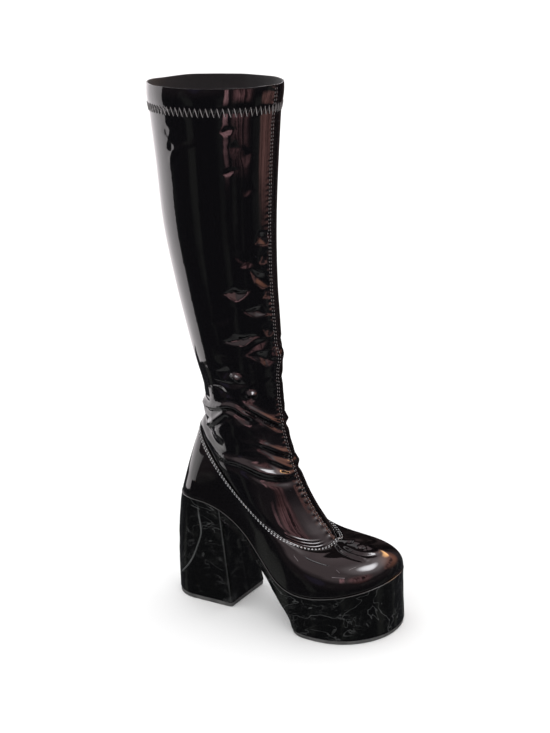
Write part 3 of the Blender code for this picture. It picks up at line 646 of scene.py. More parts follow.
shaft = {
    "rows": 458, "throatFine": (0.34, 4.0),  # below this level the rows are this much closer
    "fineSteps": 1201, "columns": (74, 22, 24),  # outer side, inner side, behind the zip
    "wall": 1.0, "liningEvery": 4, "evening": 6, "edge": (0.35, 2, 55),  # edge is width, steps, least angle
    "seamColumns": [0, 0.35, 0.8, 1.4, 2.2, 3.2, 4.5, 6.2, 8.5],  # mm from the front seam
    "zipColumns": [0, 0.6, 1.3, 2.2, 3.6, 5.5, 8.0, 11.0],  # mm from the zip's slit
    "neckInset": 0.75, "neckLevel": 0.5, "lowest": 0.02, "footFade": (-0.02, 0.06), "tuck": (2.4, 1.2),
    "slitHalf": 3.3, "zipTop": 7.2, "slitRound": 4.0, "slitLeast": 0.01,
    "rimWaver": 0.6, "rimLevels": (11.3, 12),
    "waves": {  # size in mm, stretch along z, seed
        "sway": (17, 1.0, 21.0), "heave": (15, 1.0, 27.0), "broad": (34, 1.8, 0.0), "fine": (13, 1.6, 7.0),
        "crumple": (30, 0.42, 3.0), "pucker": (16, 1.0, 0.0), "gather": (23, 1.0, 11.0),
        "zip": (22, 1.0, 3.0), "hem": (11, 2.2, 5.0), "rim": (24, 1.0, 15.0),
    },
    "slack": {"height": 205, "spread": 48, "broad": (0.25, 0.75), "fine": (0.05, 0.3)},
    "crumple": {"lift": 0.75, "height": 195, "spread": 42, "sharp": 2.2},
    "seam": {"groove": 0.75, "grooveHalf": 0.6, "lips": 0.35, "lipsAt": 2.4, "lipsHalf": 1.2},
    "pucker": {"lift": 0.55, "pitch": 5.4, "drift": 2.2, "shift": 1.3, "at": 3.0, "half": 2.0,
               "heights": (330, 190), "low": (0.3, 0.7), "uneven": (0.6, 0.9)},
    "zipGather": {"lift": 0.55, "at": 6, "half": 5, "levels": (7.6, 7.0), "pitch": 8.2, "drift": 3.0},
    "hem": {"start": 11.19, "below": 0.04, "above": 0.05, "proud": 0.5, "swell": 0.8, "ripple": 0.25,
            "groove": 0.45, "grooveHalf": 0.09},
    "folds": {  # marks of (degrees round from the back, level), height, half width, hollow below, flat flanks
        "ankleBack": ([(22, 3.4), (48, 3.68), (93, 4.48), (118, 4.42), (131, 4.3)], 3.0, 3.2, 0.9),
        "ankleHook": ([(30, 1.94), (60, 3.1), (81, 4.0), (98, 4.25)], 2.2, 3.0, 0.6),
        "ankleMain": ([(58, 1.2), (94, 2.34), (134, 2.56), (176, 2.62)], 3.6, 3.8, 0.45),
        "ankleFront": ([(116, 4.75), (140, 4.5), (160, 4.28), (178, 4.1)], 3.2, 2.4, 0.7),
        "ankleFrontLow": ([(132, 3.58), (160, 3.35), (186, 3.1)], 2.2, 2.6, 0.9),
        "ankleFrontFine": ([(141, 3.1), (160, 2.9), (174, 2.74)], 1.5, 2.0, 0.7),
        "throatLow": ([(122, 0.055), (144, 0.05), (166, 0.055)], 0.72, 1.45, 0.0, True),
        "throatMid": ([(121, 0.15), (144, 0.16), (165, 0.15)], 0.76, 1.5, 0.0, True),
        "throatHigh": ([(124, 0.25), (144, 0.27), (162, 0.24)], 0.76, 1.5, 0.0, True),
        "sparkLow": ([(124, 5.06), (131, 5.12), (138, 5.08)], 4.6, 2.6, 0.5),
        "sparkHigh": ([(107, 5.72), (113, 5.66), (119, 5.56)], 4.8, 2.3, 0.3),
        "frontSwell": ([(167, 6.35), (181, 6.15), (202, 6.3)], 3.0, 8.0, 0.0),
        "upperBack": ([(71, 10.1), (76, 10.3), (88, 10.44), (108, 10.58)], 0.5, 2.2, 0.6),
        "innerAnkle": ([(192, 4.25), (222, 4.0), (250, 4.35)], 1.8, 3.4, 0.8),
        "innerInstep": ([(190, 2.95), (222, 2.6), (252, 2.75)], 1.9, 3.8, 0.8),
        "innerBack": ([(288, 4.2), (325, 3.7), (356, 3.3)], 1.9, 3.8, 0.8),
        "innerBackLow": ([(292, 2.6), (325, 2.4), (352, 1.9)], 1.3, 3.4, 0.6),
    },
    "dentShape": {"far": 2.0, "sway": 0.45, "heave": 0.5, "thin": 1e-3, "creaseAt": 0.05, "step": 0.01},
    "dents": {  # degrees, level, half width, half height, depth, tilt
        "knuckle": (169, 8.86, 10, 9, 3.6, 30), "knuckleLow": (168, 8.5, 7, 7, 2.2, -40),
        "triangle": (160, 8.12, 16, 8.5, 4.2, -36), "lens": (130, 7.86, 15, 8, 4.2, 10),
        "underLens": (156, 7.44, 14, 7, 3.4, -20), "wideLens": (126, 6.84, 17, 7.5, 3.8, 9),
        "seamSide": (159, 6.22, 16, 8.5, 4.0, -14), "low": (97, 5.74, 13, 7, 2.4, 4),
        "streak": (106, 5.36, 18, 4.5, 1.8, 3), "seamHigh": (171, 7.8, 8, 6, 2.0, 34),
        "seamLow": (169, 7.02, 9, 7, 2.4, -30), "sideLow": (92, 4.95, 16, 6, 1.8, -6),
        "between": (146, 6.6, 15, 8, 2.2, 32), "faint": (112, 7.4, 16, 9, 1.3, 34),
        "faintHigh": (142, 8.5, 16, 9, 1.2, -40), "sideMid": (96, 6.4, 18, 8, 1.1, -28),
        "patchTop": (130, 10.74, 7, 6, 0.6, 20), "patchDrip": (135, 10.42, 5, 9, 0.55, -8),
        "patchLow": (130, 10.0, 8, 5, 0.5, 30), "patchSide": (146, 10.3, 6, 12, 0.5, 4),
        "patchEdge": (151, 9.72, 7, 8, 0.5, -20), "rimNick": (74, 10.42, 6, 5, 0.8, 30),
        "rimNickHigh": (70, 10.7, 7, 9, 0.5, 8), "inner": (205, 6.5, 14, 8, 2.4, 10),
        "innerLow": (215, 5.4, 16, 8, 2.4, -8), "innerHigh": (222, 8.2, 16, 9, 2.0, -24),
        "back": (330, 5.2, 16, 8, 1.8, 6), "backHigh": (345, 7.0, 18, 9, 1.2, -20),
    },
}


def shaftWaves(points, name):
    return waves(points, *shaft["waves"][name])


def shaftBase(angle, level):  # drawn in under the pump's topline
    outward = surfaceFrame(legPoint, angle, np.maximum(level, shaft["lowest"]))[0]
    inset = shaft["neckInset"] * (1 - smoothStep(0.0, shaft["neckLevel"], np.asarray(level, float)))
    return legPoint(angle, level) - outward * np.asarray(inset)[..., None]


def pressDents(relief, points):
    shape = shaft["dentShape"]
    sway, heave = shaftWaves(points, "sway"), shaftWaves(points, "heave")  # no two dents alike
    for degrees, at, halfWidth, halfHeight, depth, tilt in shaft["dents"].values():
        a = np.radians(degrees)
        middle = legPoint(a, at)
        outward = surfaceFrame(legPoint, a, at)[0]
        side = unit(legPoint(a + shape["step"], at) - middle)
        up = np.cross(outward, side)
        c, s = math.cos(math.radians(tilt)), math.sin(math.radians(tilt))
        side, up = side * c + up * s, up * c - side * s
        away = points - middle
        here = np.linalg.norm(away, axis=-1) < shape["far"] * max(halfWidth, halfHeight)
        reach = np.clip(1 - np.abs(away @ side / halfWidth + shape["sway"] * sway), shape["thin"], 1)
        v = (away @ up / halfHeight + shape["heave"] * heave) / reach
        upper, lower = (1 - v) / (1 - shape["creaseAt"]), (1 + v) / (1 + shape["creaseAt"])
        facets = np.clip(np.minimum(upper, lower), 0, 1)  # two flats that meet in a crease
        relief -= here * depth * reach * facets


def addSlack(relief, points):  # the leg is loosest about the ankle
    z = points[..., 2]
    slack, crumple = shaft["slack"], shaft["crumple"]
    loose = bell(z - slack["height"], slack["spread"])
    broad, fine = [always + more * loose for always, more in (slack["broad"], slack["fine"])]
    relief += shaftWaves(points, "broad") * broad + shaftWaves(points, "fine") * fine
    creases = 1 - crumple["sharp"] * np.abs(shaftWaves(points, "crumple"))  # sharp crests round the ankle
    relief += crumple["lift"] * bell(z - crumple["height"], crumple["spread"]) * creases


def addFrontSeam(relief, points, angle, aroundSpeed):
    z = points[..., 2]
    aside = (angle - math.pi) * aroundSpeed
    seam, pucker = shaft["seam"], shaft["pucker"]
    lips = seam["lips"] * bell(np.abs(aside) - seam["lipsAt"], seam["lipsHalf"])
    relief += -seam["groove"] * bell(aside, seam["grooveHalf"]) + lips
    shift = np.where(aside > 0, pucker["shift"], 0)  # the two sides do not pucker in step
    ripple = np.sin(z * fullTurn / pucker["pitch"] + pucker["drift"] * shaftWaves(points, "pucker") + shift)
    always, low = pucker["low"]
    even, uneven = pucker["uneven"]
    gather = always + low * smoothStep(*pucker["heights"], z)
    gather = gather * (even + uneven * shaftWaves(points, "gather"))
    relief += pucker["lift"] * gather * ripple * bell(np.abs(aside) - pucker["at"], pucker["half"])


def addZipGathers(relief, points, angle, level, aroundSpeed):
    gather = shaft["zipGather"]
    fromZip = np.abs(angle - zipAngle) * aroundSpeed - shaft["slitHalf"]
    besideZip = bell(fromZip - gather["at"], gather["half"]) * smoothStep(*gather["levels"], level)
    ripple = np.sin(points[..., 2] * fullTurn / gather["pitch"] + gather["drift"] * shaftWaves(points, "zip"))
    relief += gather["lift"] * besideZip * ripple


def addHem(relief, points, level):  # the doubled hem stands proud above a stitched groove
    hem = shaft["hem"]
    shown = smoothStep(hem["start"] - hem["below"], hem["start"] + hem["above"], level)
    over = (level - hem["start"]) / (collarLevel - hem["start"])
    groove = hem["groove"] * bell(level - hem["start"], hem["grooveHalf"])
    relief += shown * (hem["proud"] + hem["swell"] * 4 * over * (1 - over)) - groove
    relief += shown * hem["ripple"] * shaftWaves(points, "hem")


def shaftSurface(angle, level, lift=0.0):
    angle, level = np.broadcast_arrays(np.asarray(angle, float), np.asarray(level, float))
    points = shaftBase(angle, level)
    outward, aroundSpeed, _ = surfaceFrame(legPoint, angle, np.maximum(level, shaft["lowest"]))
    relief = surfaceFolds(points, shaft["folds"], legPoint)
    pressDents(relief, points)
    addSlack(relief, points)
    addFrontSeam(relief, points, angle, aroundSpeed)
    addZipGathers(relief, points, angle, level, aroundSpeed)
    addHem(relief, points, level)
    relief = relief * smoothStep(*shaft["footFade"], level)
    return points + outward * (relief + lift)[..., None]


def slitHalves(look, heights, end):  # half widths of the zip's slit, which closes in a round
    fromEnd = np.abs(heights - heights[end])
    into = np.clip(1 - fromEnd / look["slitRound"], 0, 1)
    return look["slitHalf"] * np.sqrt(np.clip(1 - into**2, look["slitLeast"], 1))


def wallAngles(point, at, halves, look):
    # columns of a wall, row by row: even, but crowded beside the front seam and the zip
    def spread(start, end, count):
        return start[:, None] + (end - start)[:, None] * np.linspace(0, 1, count + 2)[None, 1:-1]
    seamOffsets, zipOffsets = np.array(look["seamColumns"], float), np.array(look["zipColumns"], float)
    seamSpeed = surfaceFrame(point, math.pi, at)[1][:, None]
    zipSpeed = surfaceFrame(point, zipAngle, at)[1][:, None]
    zero, full = np.zeros(len(at)), np.full(len(at), fullTurn)
    halves = halves[:, None]
    before = zipAngle - (halves + zipOffsets[None, ::-1]) / zipSpeed
    after = zipAngle + (halves + zipOffsets[None]) / zipSpeed
    inside = zipAngle + halves * np.array([-0.5, 0, 0.5])[None] / zipSpeed
    seamLeft = math.pi - seamOffsets[None, ::-1] / seamSpeed
    seamRight = math.pi + seamOffsets[None, 1:] / seamSpeed
    outerSide, innerSide, rear = look["columns"]
    columns = [zero[:, None], spread(zero, seamLeft[:, 0], outerSide), seamLeft, seamRight,
               spread(seamRight[:, -1], before[:, 0], innerSide), before, inside, after,
               spread(after[:, -1], full, rear)]
    first = sum(c.shape[1] for c in columns[:6]) - 1
    return np.hstack(columns), range(first, first + inside.shape[1] + 1)


def shaftMesh(points, slit, slitEnd):
    # an outer wall from rows closed round the leg, with a coarser lining wall inside it
    # both are open along the slit, up to the row slitEnd
    rows, count = points.shape[:2]
    outward = unit(np.cross(np.roll(points, -1, 1) - np.roll(points, 1, 1), np.gradient(points, axis=0)))
    for _ in range(shaft["evening"]):  # evened out, so that the lining does not fold over itself
        above, below = outward[np.r_[1:rows, rows - 1]], outward[np.r_[0, 0:rows - 1]]
        outward = unit(outward + np.roll(outward, 1, 1) + np.roll(outward, -1, 1) + above + below)
    picks = sorted({*range(0, rows, shaft["liningEvery"]), slitEnd, rows - 1})
    inner = (points - outward * shaft["wall"])[picks]

    def outside(r, c):
        return r * count + c % count

    def inside(k, c):
        return rows * count + k * count + c % count

    faces, lining = [], []
    for r in range(rows - 1):
        faces += [(outside(r, c), outside(r, c + 1), outside(r + 1, c + 1), outside(r + 1, c))
                  for c in range(count) if not (c in slit and r < slitEnd)]
    for k, (r0, r1) in enumerate(zip(picks, picks[1:])):
        lining += [(inside(k, c + 1), inside(k, c), inside(k + 1, c), inside(k + 1, c + 1))
                   for c in range(count) if not (c in slit and r0 < slitEnd)]
        if r0 < slitEnd:
            for c, turn in ((slit[0], 1), (slit[-1] + 1, -1)):
                edge = [outside(r, c) for r in range(r0, r1 + 1)] + [inside(k + 1, c), inside(k, c)]
                faces.append(edge[::turn])
    rims = ((0, 0, set(range(count)) - set(slit)), (rows - 1, len(picks) - 1, range(count)),
            (slitEnd, picks.index(slitEnd), slit))
    for r, k, across in rims:
        faces += [(outside(r, c), outside(r, c + 1), inside(k, c + 1), inside(k, c)) for c in across]
    places = np.concatenate([points.reshape(-1, 3), inner.reshape(-1, 3)])
    mesh = bpy.data.meshes.new("stretchShaft")
    mesh.from_pydata(toFrame(places).tolist(), [], faces + lining)
    mesh.polygons.foreach_set("material_index", [0] * len(faces) + [1] * len(lining))
    cleanMesh(mesh, outward=True)
    return mesh


def makeShaft():
    fine = np.linspace(0, collarLevel, shaft["fineSteps"])
    lines = [legPoint(turn, fine) for turn in (math.pi, math.pi / 2, 0.0)]
    steps = np.max([np.linalg.norm(np.diff(line, axis=0), axis=-1) for line in lines], axis=0)
    throatLevel, closer = shaft["throatFine"]
    steps *= np.where(fine[1:] < throatLevel, closer, 1)
    run = np.concatenate([[0], np.cumsum(steps)])  # rows are even where the leg is longest
    level = np.interp(np.linspace(0, run[-1], shaft["rows"]), run, fine)
    slitEnd = int(np.searchsorted(level, shaft["zipTop"]))
    halves = slitHalves(shaft, legPoint(zipAngle, level)[:, 2], slitEnd)
    angles, slit = wallAngles(legPoint, level, halves, shaft)
    points = shaftSurface(angles, level[:, None])
    atRim = smoothStep(*shaft["rimLevels"], level)[:, None]
    points[..., 2] += shaft["rimWaver"] * atRim * shaftWaves(points, "rim")
    tuck = [points[0] - (0, 0, depth) for depth in shaft["tuck"]]  # a short edge goes down inside the pump
    points = np.concatenate([np.stack(tuck), points])
    mesh = shaftMesh(points, slit, slitEnd + len(tuck))
    piece = newPiece("stretchShaft", mesh, shaftPatent, liningKnit)
    addBevel(piece, *shaft["edge"])
    finishPiece(piece, ["shaft"])


makeShaft()
print("shaft made")

pump = {
    "backLean": 0.5, "backLift": 0.5, "toeLift": 0.7, "liftPower": 6,  # where the wall's shoulder stands
    "fullness": 1.045, "toePush": 3, "pushPower": 8,
    "footRows": (0, 0.008, 0.018), "sideRows": (0.03, 0.92, 72), "topRows": (0.93, 1, 17),
    "columns": (200, 100, 48), "seamColumns": [0, 2.0, 4.0], "zipColumns": [0, 0.6, 1.4, 2.5, 4.0, 6.5],
    "wall": 0.9, "edge": (0.4, 2, 55), "slitHalf": 3.6, "zipFoot": 0.36, "slitRound": 6.0, "slitLeast": 0.02,
    "bead": {"lift": 0.32, "at": 0.5, "half": 0.7}, "stitchRows": (1.7, 3.7),
    "stitchGroove": 0.22, "grooveHalf": 0.6, "featherTuck": 1.1, "tuckHalf": 1.3,
    "unevenBroad": (0.16, 30, 1.0, 0.0), "unevenFine": (0.05, 11, 1.0, 4.0),  # lift, size, stretch, seed
    "zipGather": {"lift": 0.3, "at": 3, "half": 4, "rises": (0.3, 0.45), "pitch": 7.4},
    "folds": {  # marks of (degrees round from the back, rise), height, half width, hollow below
        "vampCrest": ([(172, 0.94), (166.5, 0.86), (165.5, 0.72), (168.5, 0.55)], 1.1, 2.0, 0.9),
        "vampCrestHigh": ([(172, 0.88), (170, 0.77), (171, 0.66), (177, 0.54)], 0.9, 1.8, 0.6),
        "dimpleRim": ([(176, 0.89), (178, 0.86), (180, 0.83)], 0.7, 3.2, 0.0),
        "dimple": ([(176.6, 0.88), (178, 0.86), (179.4, 0.84)], -1.5, 1.8, 0.0),
        "dimpleLowRim": ([(173, 0.75), (175, 0.72), (177, 0.69)], 0.7, 3.2, 0.0),
        "dimpleLow": ([(173.6, 0.74), (175, 0.72), (176.4, 0.70)], -1.5, 1.8, 0.0),
        "throatRoll": ([(112, 0.93), (132, 0.92), (150, 0.915), (168, 0.91)], 1.0, 5.0, 0.0),
        "vampInner": ([(189, 0.95), (197, 0.84), (192, 0.70)], -1.0, 3.4, 0.0),
        "innerRidge": ([(200, 0.93), (206, 0.80), (200, 0.66)], 0.8, 3.6, 0.0),
        "waist": ([(70, 0.42), (84, 0.45), (98, 0.40)], -0.35, 7.0, 0.0),
    },
}


def pumpPoint(angle, rise):  # rise is 0 at the feather line and 1 at the topline
    angle, rise = np.broadcast_arrays(np.asarray(angle, float), np.asarray(rise, float))
    foot, top = featherPoint(angle), legPoint(angle, 0)
    share, rise = ringShare(angle)[..., None], rise[..., None]
    lean = pump["backLean"] * (1 - share**2)
    lift = pump["backLift"] + pump["toeLift"] * share ** pump["liftPower"]
    shoulder = foot + (top - foot) * np.concatenate([lean, 0 * lean, lift], axis=-1)
    shoulder[..., 1] = foot[..., 1] * pump["fullness"]
    shoulder[..., 0] += pump["toePush"] * share[..., 0] ** pump["pushPower"]
    return foot * (1 - rise) ** 2 + shoulder * 2 * rise * (1 - rise) + top * rise**2


def pumpSurface(angle, rise, lift=0.0):
    angle, rise = np.broadcast_arrays(np.asarray(angle, float), np.asarray(rise, float))
    points = pumpPoint(angle, rise)
    outward, aroundSpeed, upSpeed = surfaceFrame(pumpPoint, angle, rise)
    fromTop, fromFeather = (1 - rise) * upSpeed, rise * upSpeed
    bead, gather = pump["bead"], pump["zipGather"]
    relief = surfaceFolds(points, pump["folds"], pumpPoint)
    relief += bead["lift"] * bell(fromTop - bead["at"], bead["half"])
    for row in pump["stitchRows"]:
        relief -= pump["stitchGroove"] * bell(fromTop - row, pump["grooveHalf"])
    relief -= pump["featherTuck"] * bell(fromFeather, pump["tuckHalf"])
    broad, *broadWaves = pump["unevenBroad"]
    fine, *fineWaves = pump["unevenFine"]
    relief += broad * waves(points, *broadWaves) + fine * waves(points, *fineWaves)
    fromZip = np.abs(angle - zipAngle) * aroundSpeed - pump["slitHalf"]
    besideZip = bell(fromZip - gather["at"], gather["half"]) * smoothStep(*gather["rises"], rise)
    relief += gather["lift"] * besideZip * np.sin(points[..., 2] * fullTurn / gather["pitch"])
    return points + outward * (relief + lift)[..., None]


def makePump():
    rise = np.concatenate([pump["footRows"], np.linspace(*pump["sideRows"]), np.linspace(*pump["topRows"])])
    slitStart = int(np.searchsorted(rise, pump["zipFoot"]))
    halves = slitHalves(pump, pumpPoint(zipAngle, rise)[:, 2], slitStart)
    angles, slit = wallAngles(pumpPoint, rise, halves, pump)
    points = pumpSurface(angles, rise[:, None])
    mesh = gridMesh("pumpUpper", points, True, lambda i, j: np.isin(i, slit) & (j >= slitStart))
    piece = newPiece("pumpUpper", mesh, pumpPatent, liningKnit)
    addWall(piece, pump["wall"])
    addBevel(piece, *pump["edge"])
    finishPiece(piece, ["upper"])


makePump()
print("pump made")

bottom = {
    "gap": 0.3, "waist": 9.0, "waistSoft": 3.0, "footRear": 143.0, "rearSlope": 2.0, "rearRound": 20.0,
    "platformRear": 62.8, "platformSteps": 150, "platformRows": 25, "crowd": 0.92, "across": 14,
    "flare": 1.0, "hollow": 0.35, "roundHeights": (8, 36), "wrinkleFrom": (66, 80), "edge": (1.1, 3, 45),
    "wrinkle": 0.28, "wrinkleSharp": 2.4, "ridgeShare": 0.8, "swellShare": 0.5,
    "ridgeWaves": (21, 1.0, 2.0), "swellWaves": (11, 1.0, 9.0),
    "outsole": 3.5, "outsoleInset": 0.6, "outsoleBack": 1.5, "outsoleRows": (0, 1.2, 2.4),
    "outsoleEdge": (0.6, 3, 45), "outsoleSteps": 60, "plateAcross": 11,
    "footbedInset": 3.2, "footbedSteps": 70, "footbedEdge": (0.5, 2, 45),
    "footbedRows": ((0.2, 0.3), (1.2, 0), (2.3, 0), (3.0, 0.8)),  # height over the feather line, drawn in
    "bead": 0.5, "beadDrop": 0.1, "beadSteps": 320, "beadSides": 9,
}
heel = {
    "rows": 112, "across": 41, "length": 74.0, "breastTop": 61.0, "halfWidth": 31.2, "backRound": 30.0,
    "backPower": 3.5, "corner": 3.0, "edge": (0.9, 3, 45), "steps": (66, 40, 7),  # round, side, corner
    "topLift": 4.0, "liftInset": 0.4, "liftRows": (0, 1.4, 2.7), "liftAcross": 9, "liftEdge": (0.7, 3, 45),
    "crease": [(37, 103), (38, 91.5), (40, 79), (40, 70), (36, 58), (30.5, 45), (23.5, 34), (14, 24),
               (5, 15)],  # x and z
    # creaseHighlight paints a pale highlight along the crease's crest; cornerPale lightens the breast corners
    "creaseSteps": 220, "creaseHeight": 0.55, "creaseHalf": 0.85, "creaseHighlight": 0.8, "highlightPower": 1.8,
    "cornerPale": 0.36, "cornerSet": 0.3, "cornerHalf": 0.6, "seam": 0.5, "seamHalf": 0.9, "seamFrom": 55,
}


def filmWrinkles(points):  # the cover's film is drawn into soft wandering wrinkles
    ridged = 1 - np.abs(waves(points, *bottom["ridgeWaves"])) * bottom["wrinkleSharp"]
    swells = waves(points, *bottom["swellWaves"])
    return bottom["wrinkle"] * (ridged * bottom["ridgeShare"] + swells * bottom["swellShare"])


def edgePair(x, height, grow=0.0):
    z = np.broadcast_to(height, x.shape)
    return [np.stack([x, soleEdge(x, side, grow), z], axis=-1) for side in (-1, 1)]


def platformUnderside(x):
    outsoleTop = bottom["outsole"] + bottom["gap"]
    waist = soleAt("height", x) - bottom["waist"]
    rear = outsoleTop + (bottom["footRear"] - x) * bottom["rearSlope"]
    soft = bottom["waistSoft"]
    return np.maximum(outsoleTop, -soft * np.logaddexp(-waist / soft, -rear / soft))


def roundRear(edges, rearX, radius):  # the two rear corners are rounded off in plan
    for edge, side in zip(edges, (1, -1)):
        short = np.clip(radius - (edge[:, 0] - rearX), 0, radius)
        edge[:, 1] += side * (radius - np.sqrt(radius**2 - short**2))
    return edges


def makePlatform():
    rear, toe, footRear = bottom["platformRear"], soleEnds["toe"], bottom["footRear"]
    s = np.linspace(0, 1, bottom["platformSteps"])
    x = rear + (toe - rear) * np.sin(s * math.pi / 2) ** bottom["crowd"]
    rows = []
    for v in np.linspace(0, 1, bottom["platformRows"]):
        grow = bottom["flare"] * (1 - v) - bottom["hollow"] * math.sin(v * math.pi)
        reach = x + grow * smoothStep(footRear, toe, x)
        low, high = platformUnderside(reach), soleAt("height", x) - bottom["gap"]
        z = low + (high - low) * v
        rearX = footRear - (z - bottom["outsole"] - bottom["gap"]) / bottom["rearSlope"]
        radius = bottom["rearRound"] * (1 - smoothStep(*bottom["roundHeights"], z))
        rows.append(roundRear(edgePair(reach, z, grow), rearX, radius))

    def wrinkles(points):
        return filmWrinkles(points) * smoothStep(*bottom["wrinkleFrom"], points[:, 0])

    mesh = ladderShell("platformCover", rows, bottom["across"], wrinkles)
    piece = newPiece("platformCover", mesh, coverPatent)
    addBevel(piece, *bottom["edge"])
    finishPiece(piece, ["platform"])


# the heel's outline at a height from 0 at its foot to 1 under the sole
def heelBack(height):
    return soleEnds["back"] * height ** heel["backPower"]


def heelBreast(height):
    return heel["length"] + (heel["breastTop"] - heel["length"]) * height


def heelHalf(name, x, height):
    return heel["halfWidth"] + (soleAt(name, x) - heel["halfWidth"]) * height


def heelRoundLength(height):
    return heel["backRound"] + (soleEnds["heelRound"] - heel["backRound"]) * height


def heelRounding(x, back, roundLength):
    return np.sqrt(1 - np.clip(1 - (x - back) / roundLength, 0, 1) ** 2)


def heelEdges(height, inset=0.0):
    back, breast = heelBack(height) + inset, heelBreast(height) - inset
    roundLength, corner = heelRoundLength(height), heel["corner"]
    arcSteps, sideSteps, cornerSteps = heel["steps"]
    arc = back + roundLength * (1 - np.cos(np.linspace(0, math.pi / 2, arcSteps)))
    straight = np.linspace(arc[-1], breast - corner, sideSteps)[1:]
    turn = np.linspace(0, math.pi / 2, cornerSteps)[1:]
    x = np.concatenate([arc, straight, breast - corner + corner * np.sin(turn)])
    inward = np.concatenate([np.zeros(len(arc) + len(straight)), corner * (1 - np.cos(turn))])
    rounding = heelRounding(x, back, roundLength)
    edges = []
    for side, name in ((-1, "outer"), (1, "inner")):
        half = heelHalf(name, x, height) - inset
        edges.append((x, side * (half * rounding - inward)))
    return edges


def heelCrease(points):  # a long crease in the cover on the outer side
    x, z = curveThrough(heel["crease"], heel["creaseSteps"])
    height = z / soleAt("height", x)
    rounding = heelRounding(x, heelBack(height), heelRoundLength(height))
    path = np.stack([x, -heelHalf("outer", x, height) * rounding, z], axis=-1)
    return foldRelief(points, path, np.zeros_like(path), 1.0, heel["creaseHalf"], 0.0)


def heelHighlightAndPaleCorners(points):  # a painted highlight along the crease, and paler spots at the two corners of the breast
    x, y = points[:, 0], points[:, 1]
    height = points[:, 2] / soleAt("height", x)
    cornerSet = heel["cornerSet"] * heel["corner"]
    cornerX = heelBreast(height) - cornerSet
    cornerY = np.where(y < 0, heelHalf("outer", x, height), heelHalf("inner", x, height)) - cornerSet
    away = np.hypot(x - cornerX, np.abs(y) - cornerY)
    creased = heel["creaseHighlight"] * heelCrease(points) ** heel["highlightPower"]
    return np.maximum(creased, heel["cornerPale"] * bell(away, heel["cornerHalf"]))


def heelRelief(points):
    seam = bell(points[:, 1], heel["seamHalf"]) * (points[:, 0] > heel["seamFrom"])  # closed up the breast
    return filmWrinkles(points) + heel["creaseHeight"] * heelCrease(points) - heel["seam"] * seam


def makeHeel():
    low = heel["topLift"] + bottom["gap"]
    rows = []
    for height in np.linspace(0, 1, heel["rows"]):
        row = []
        for x, y in heelEdges(height):
            z = low + (soleAt("height", x) - bottom["gap"] - low) * height
            row.append(np.stack([x, y, z], axis=-1))
        rows.append(row)
    mesh = ladderShell("heelCover", rows, heel["across"], heelRelief, heelHighlightAndPaleCorners)
    piece = newPiece("heelCover", mesh, coverPatent)
    addBevel(piece, *heel["edge"])
    finishPiece(piece, ["heel_block"])
    edges = heelEdges(0, heel["liftInset"])
    rows = [[np.stack([x, y, np.full_like(x, z)], axis=-1) for x, y in edges]
            for z in (*heel["liftRows"], heel["topLift"])]
    piece = newPiece("topLift", ladderShell("topLift", rows, heel["liftAcross"]), charcoalRubber)
    addBevel(piece, *heel["liftEdge"])
    finishPiece(piece, ["heel_top_lift"])


def makeSoles():
    grow = bottom["flare"] - bottom["outsoleInset"]
    rear = bottom["footRear"] + bottom["outsoleBack"]
    steps = np.sin(np.linspace(0, math.pi / 2, bottom["outsoleSteps"]))
    x = rear + (soleEnds["toe"] + grow - rear) * steps
    rows = [roundRear(edgePair(x, z, grow), x[0], bottom["rearRound"])
            for z in (*bottom["outsoleRows"], bottom["outsole"])]
    mesh = ladderShell("outsolePlate", rows, bottom["plateAcross"])
    piece = newPiece("outsolePlate", mesh, charcoalRubber)
    addBevel(piece, *bottom["outsoleEdge"])
    finishPiece(piece, ["outsole"])
    inset = bottom["footbedInset"]
    steps = 1 - np.cos(np.linspace(0, math.pi, bottom["footbedSteps"]))
    x = soleEnds["back"] + inset + (soleEnds["toe"] - soleEnds["back"] - 2 * inset) * steps / 2
    rows = [edgePair(x, soleAt("height", x) + lift, -inset - draw) for lift, draw in bottom["footbedRows"]]
    piece = newPiece("footbed", ladderShell("footbed", rows, bottom["plateAcross"]), liningKnit)
    addBevel(piece, *bottom["footbedEdge"])
    finishPiece(piece, ["insole"])


def makeBead():  # a thin rolled edge where the pump meets the platform and the heel; its pale grey finish is a painted highlight along the joint
    turns = np.linspace(0, fullTurn, bottom["beadSteps"], endpoint=False)
    path = featherPoint(turns) - (0, 0, bottom["beadDrop"])
    along = unit(np.roll(path, -1, 0) - np.roll(path, 1, 0))
    sideways = unit(np.cross(along, (0, 0, 1.0)))
    upward = np.cross(sideways, along)
    spin = np.linspace(0, fullTurn, bottom["beadSides"] + 1)[None, :-1, None]
    rings = np.cos(spin) * sideways[:, None] + np.sin(spin) * upward[:, None]
    rings = path[:, None] + bottom["bead"] * rings
    mesh = gridMesh("featherBead", np.concatenate([rings, rings[:1]]), True)
    cleanMesh(mesh, merge=1e-6, outward=True)  # its two ends are joined
    finishPiece(newPiece("featherBead", mesh, beadHighlightPatent))


makePlatform()
makeHeel()
makeSoles()
makeBead()
print("platform, heel and soles made")

zipLook = {
    "tapeHalf": 8.0, "tape": 0.6, "tapeColumns": 9, "crown": 0.0045,
    "footGap": 0.012, "pumpEnd": 0.985, "pumpSteps": 70, "pumpDepth": (1.7, 3.1),
    "shaftStart": 0.12, "overTop": 0.1, "shaftSteps": 190, "shaftDepth": 1.25, "easing": 10,
    "ribStart": 0.3, "ribPitch": 1.25, "ribReach": 2.35, "ribCross": 0.3, "ribLift": 0.45, "ribRadius": 0.52,
    "stop": 6.0,
}


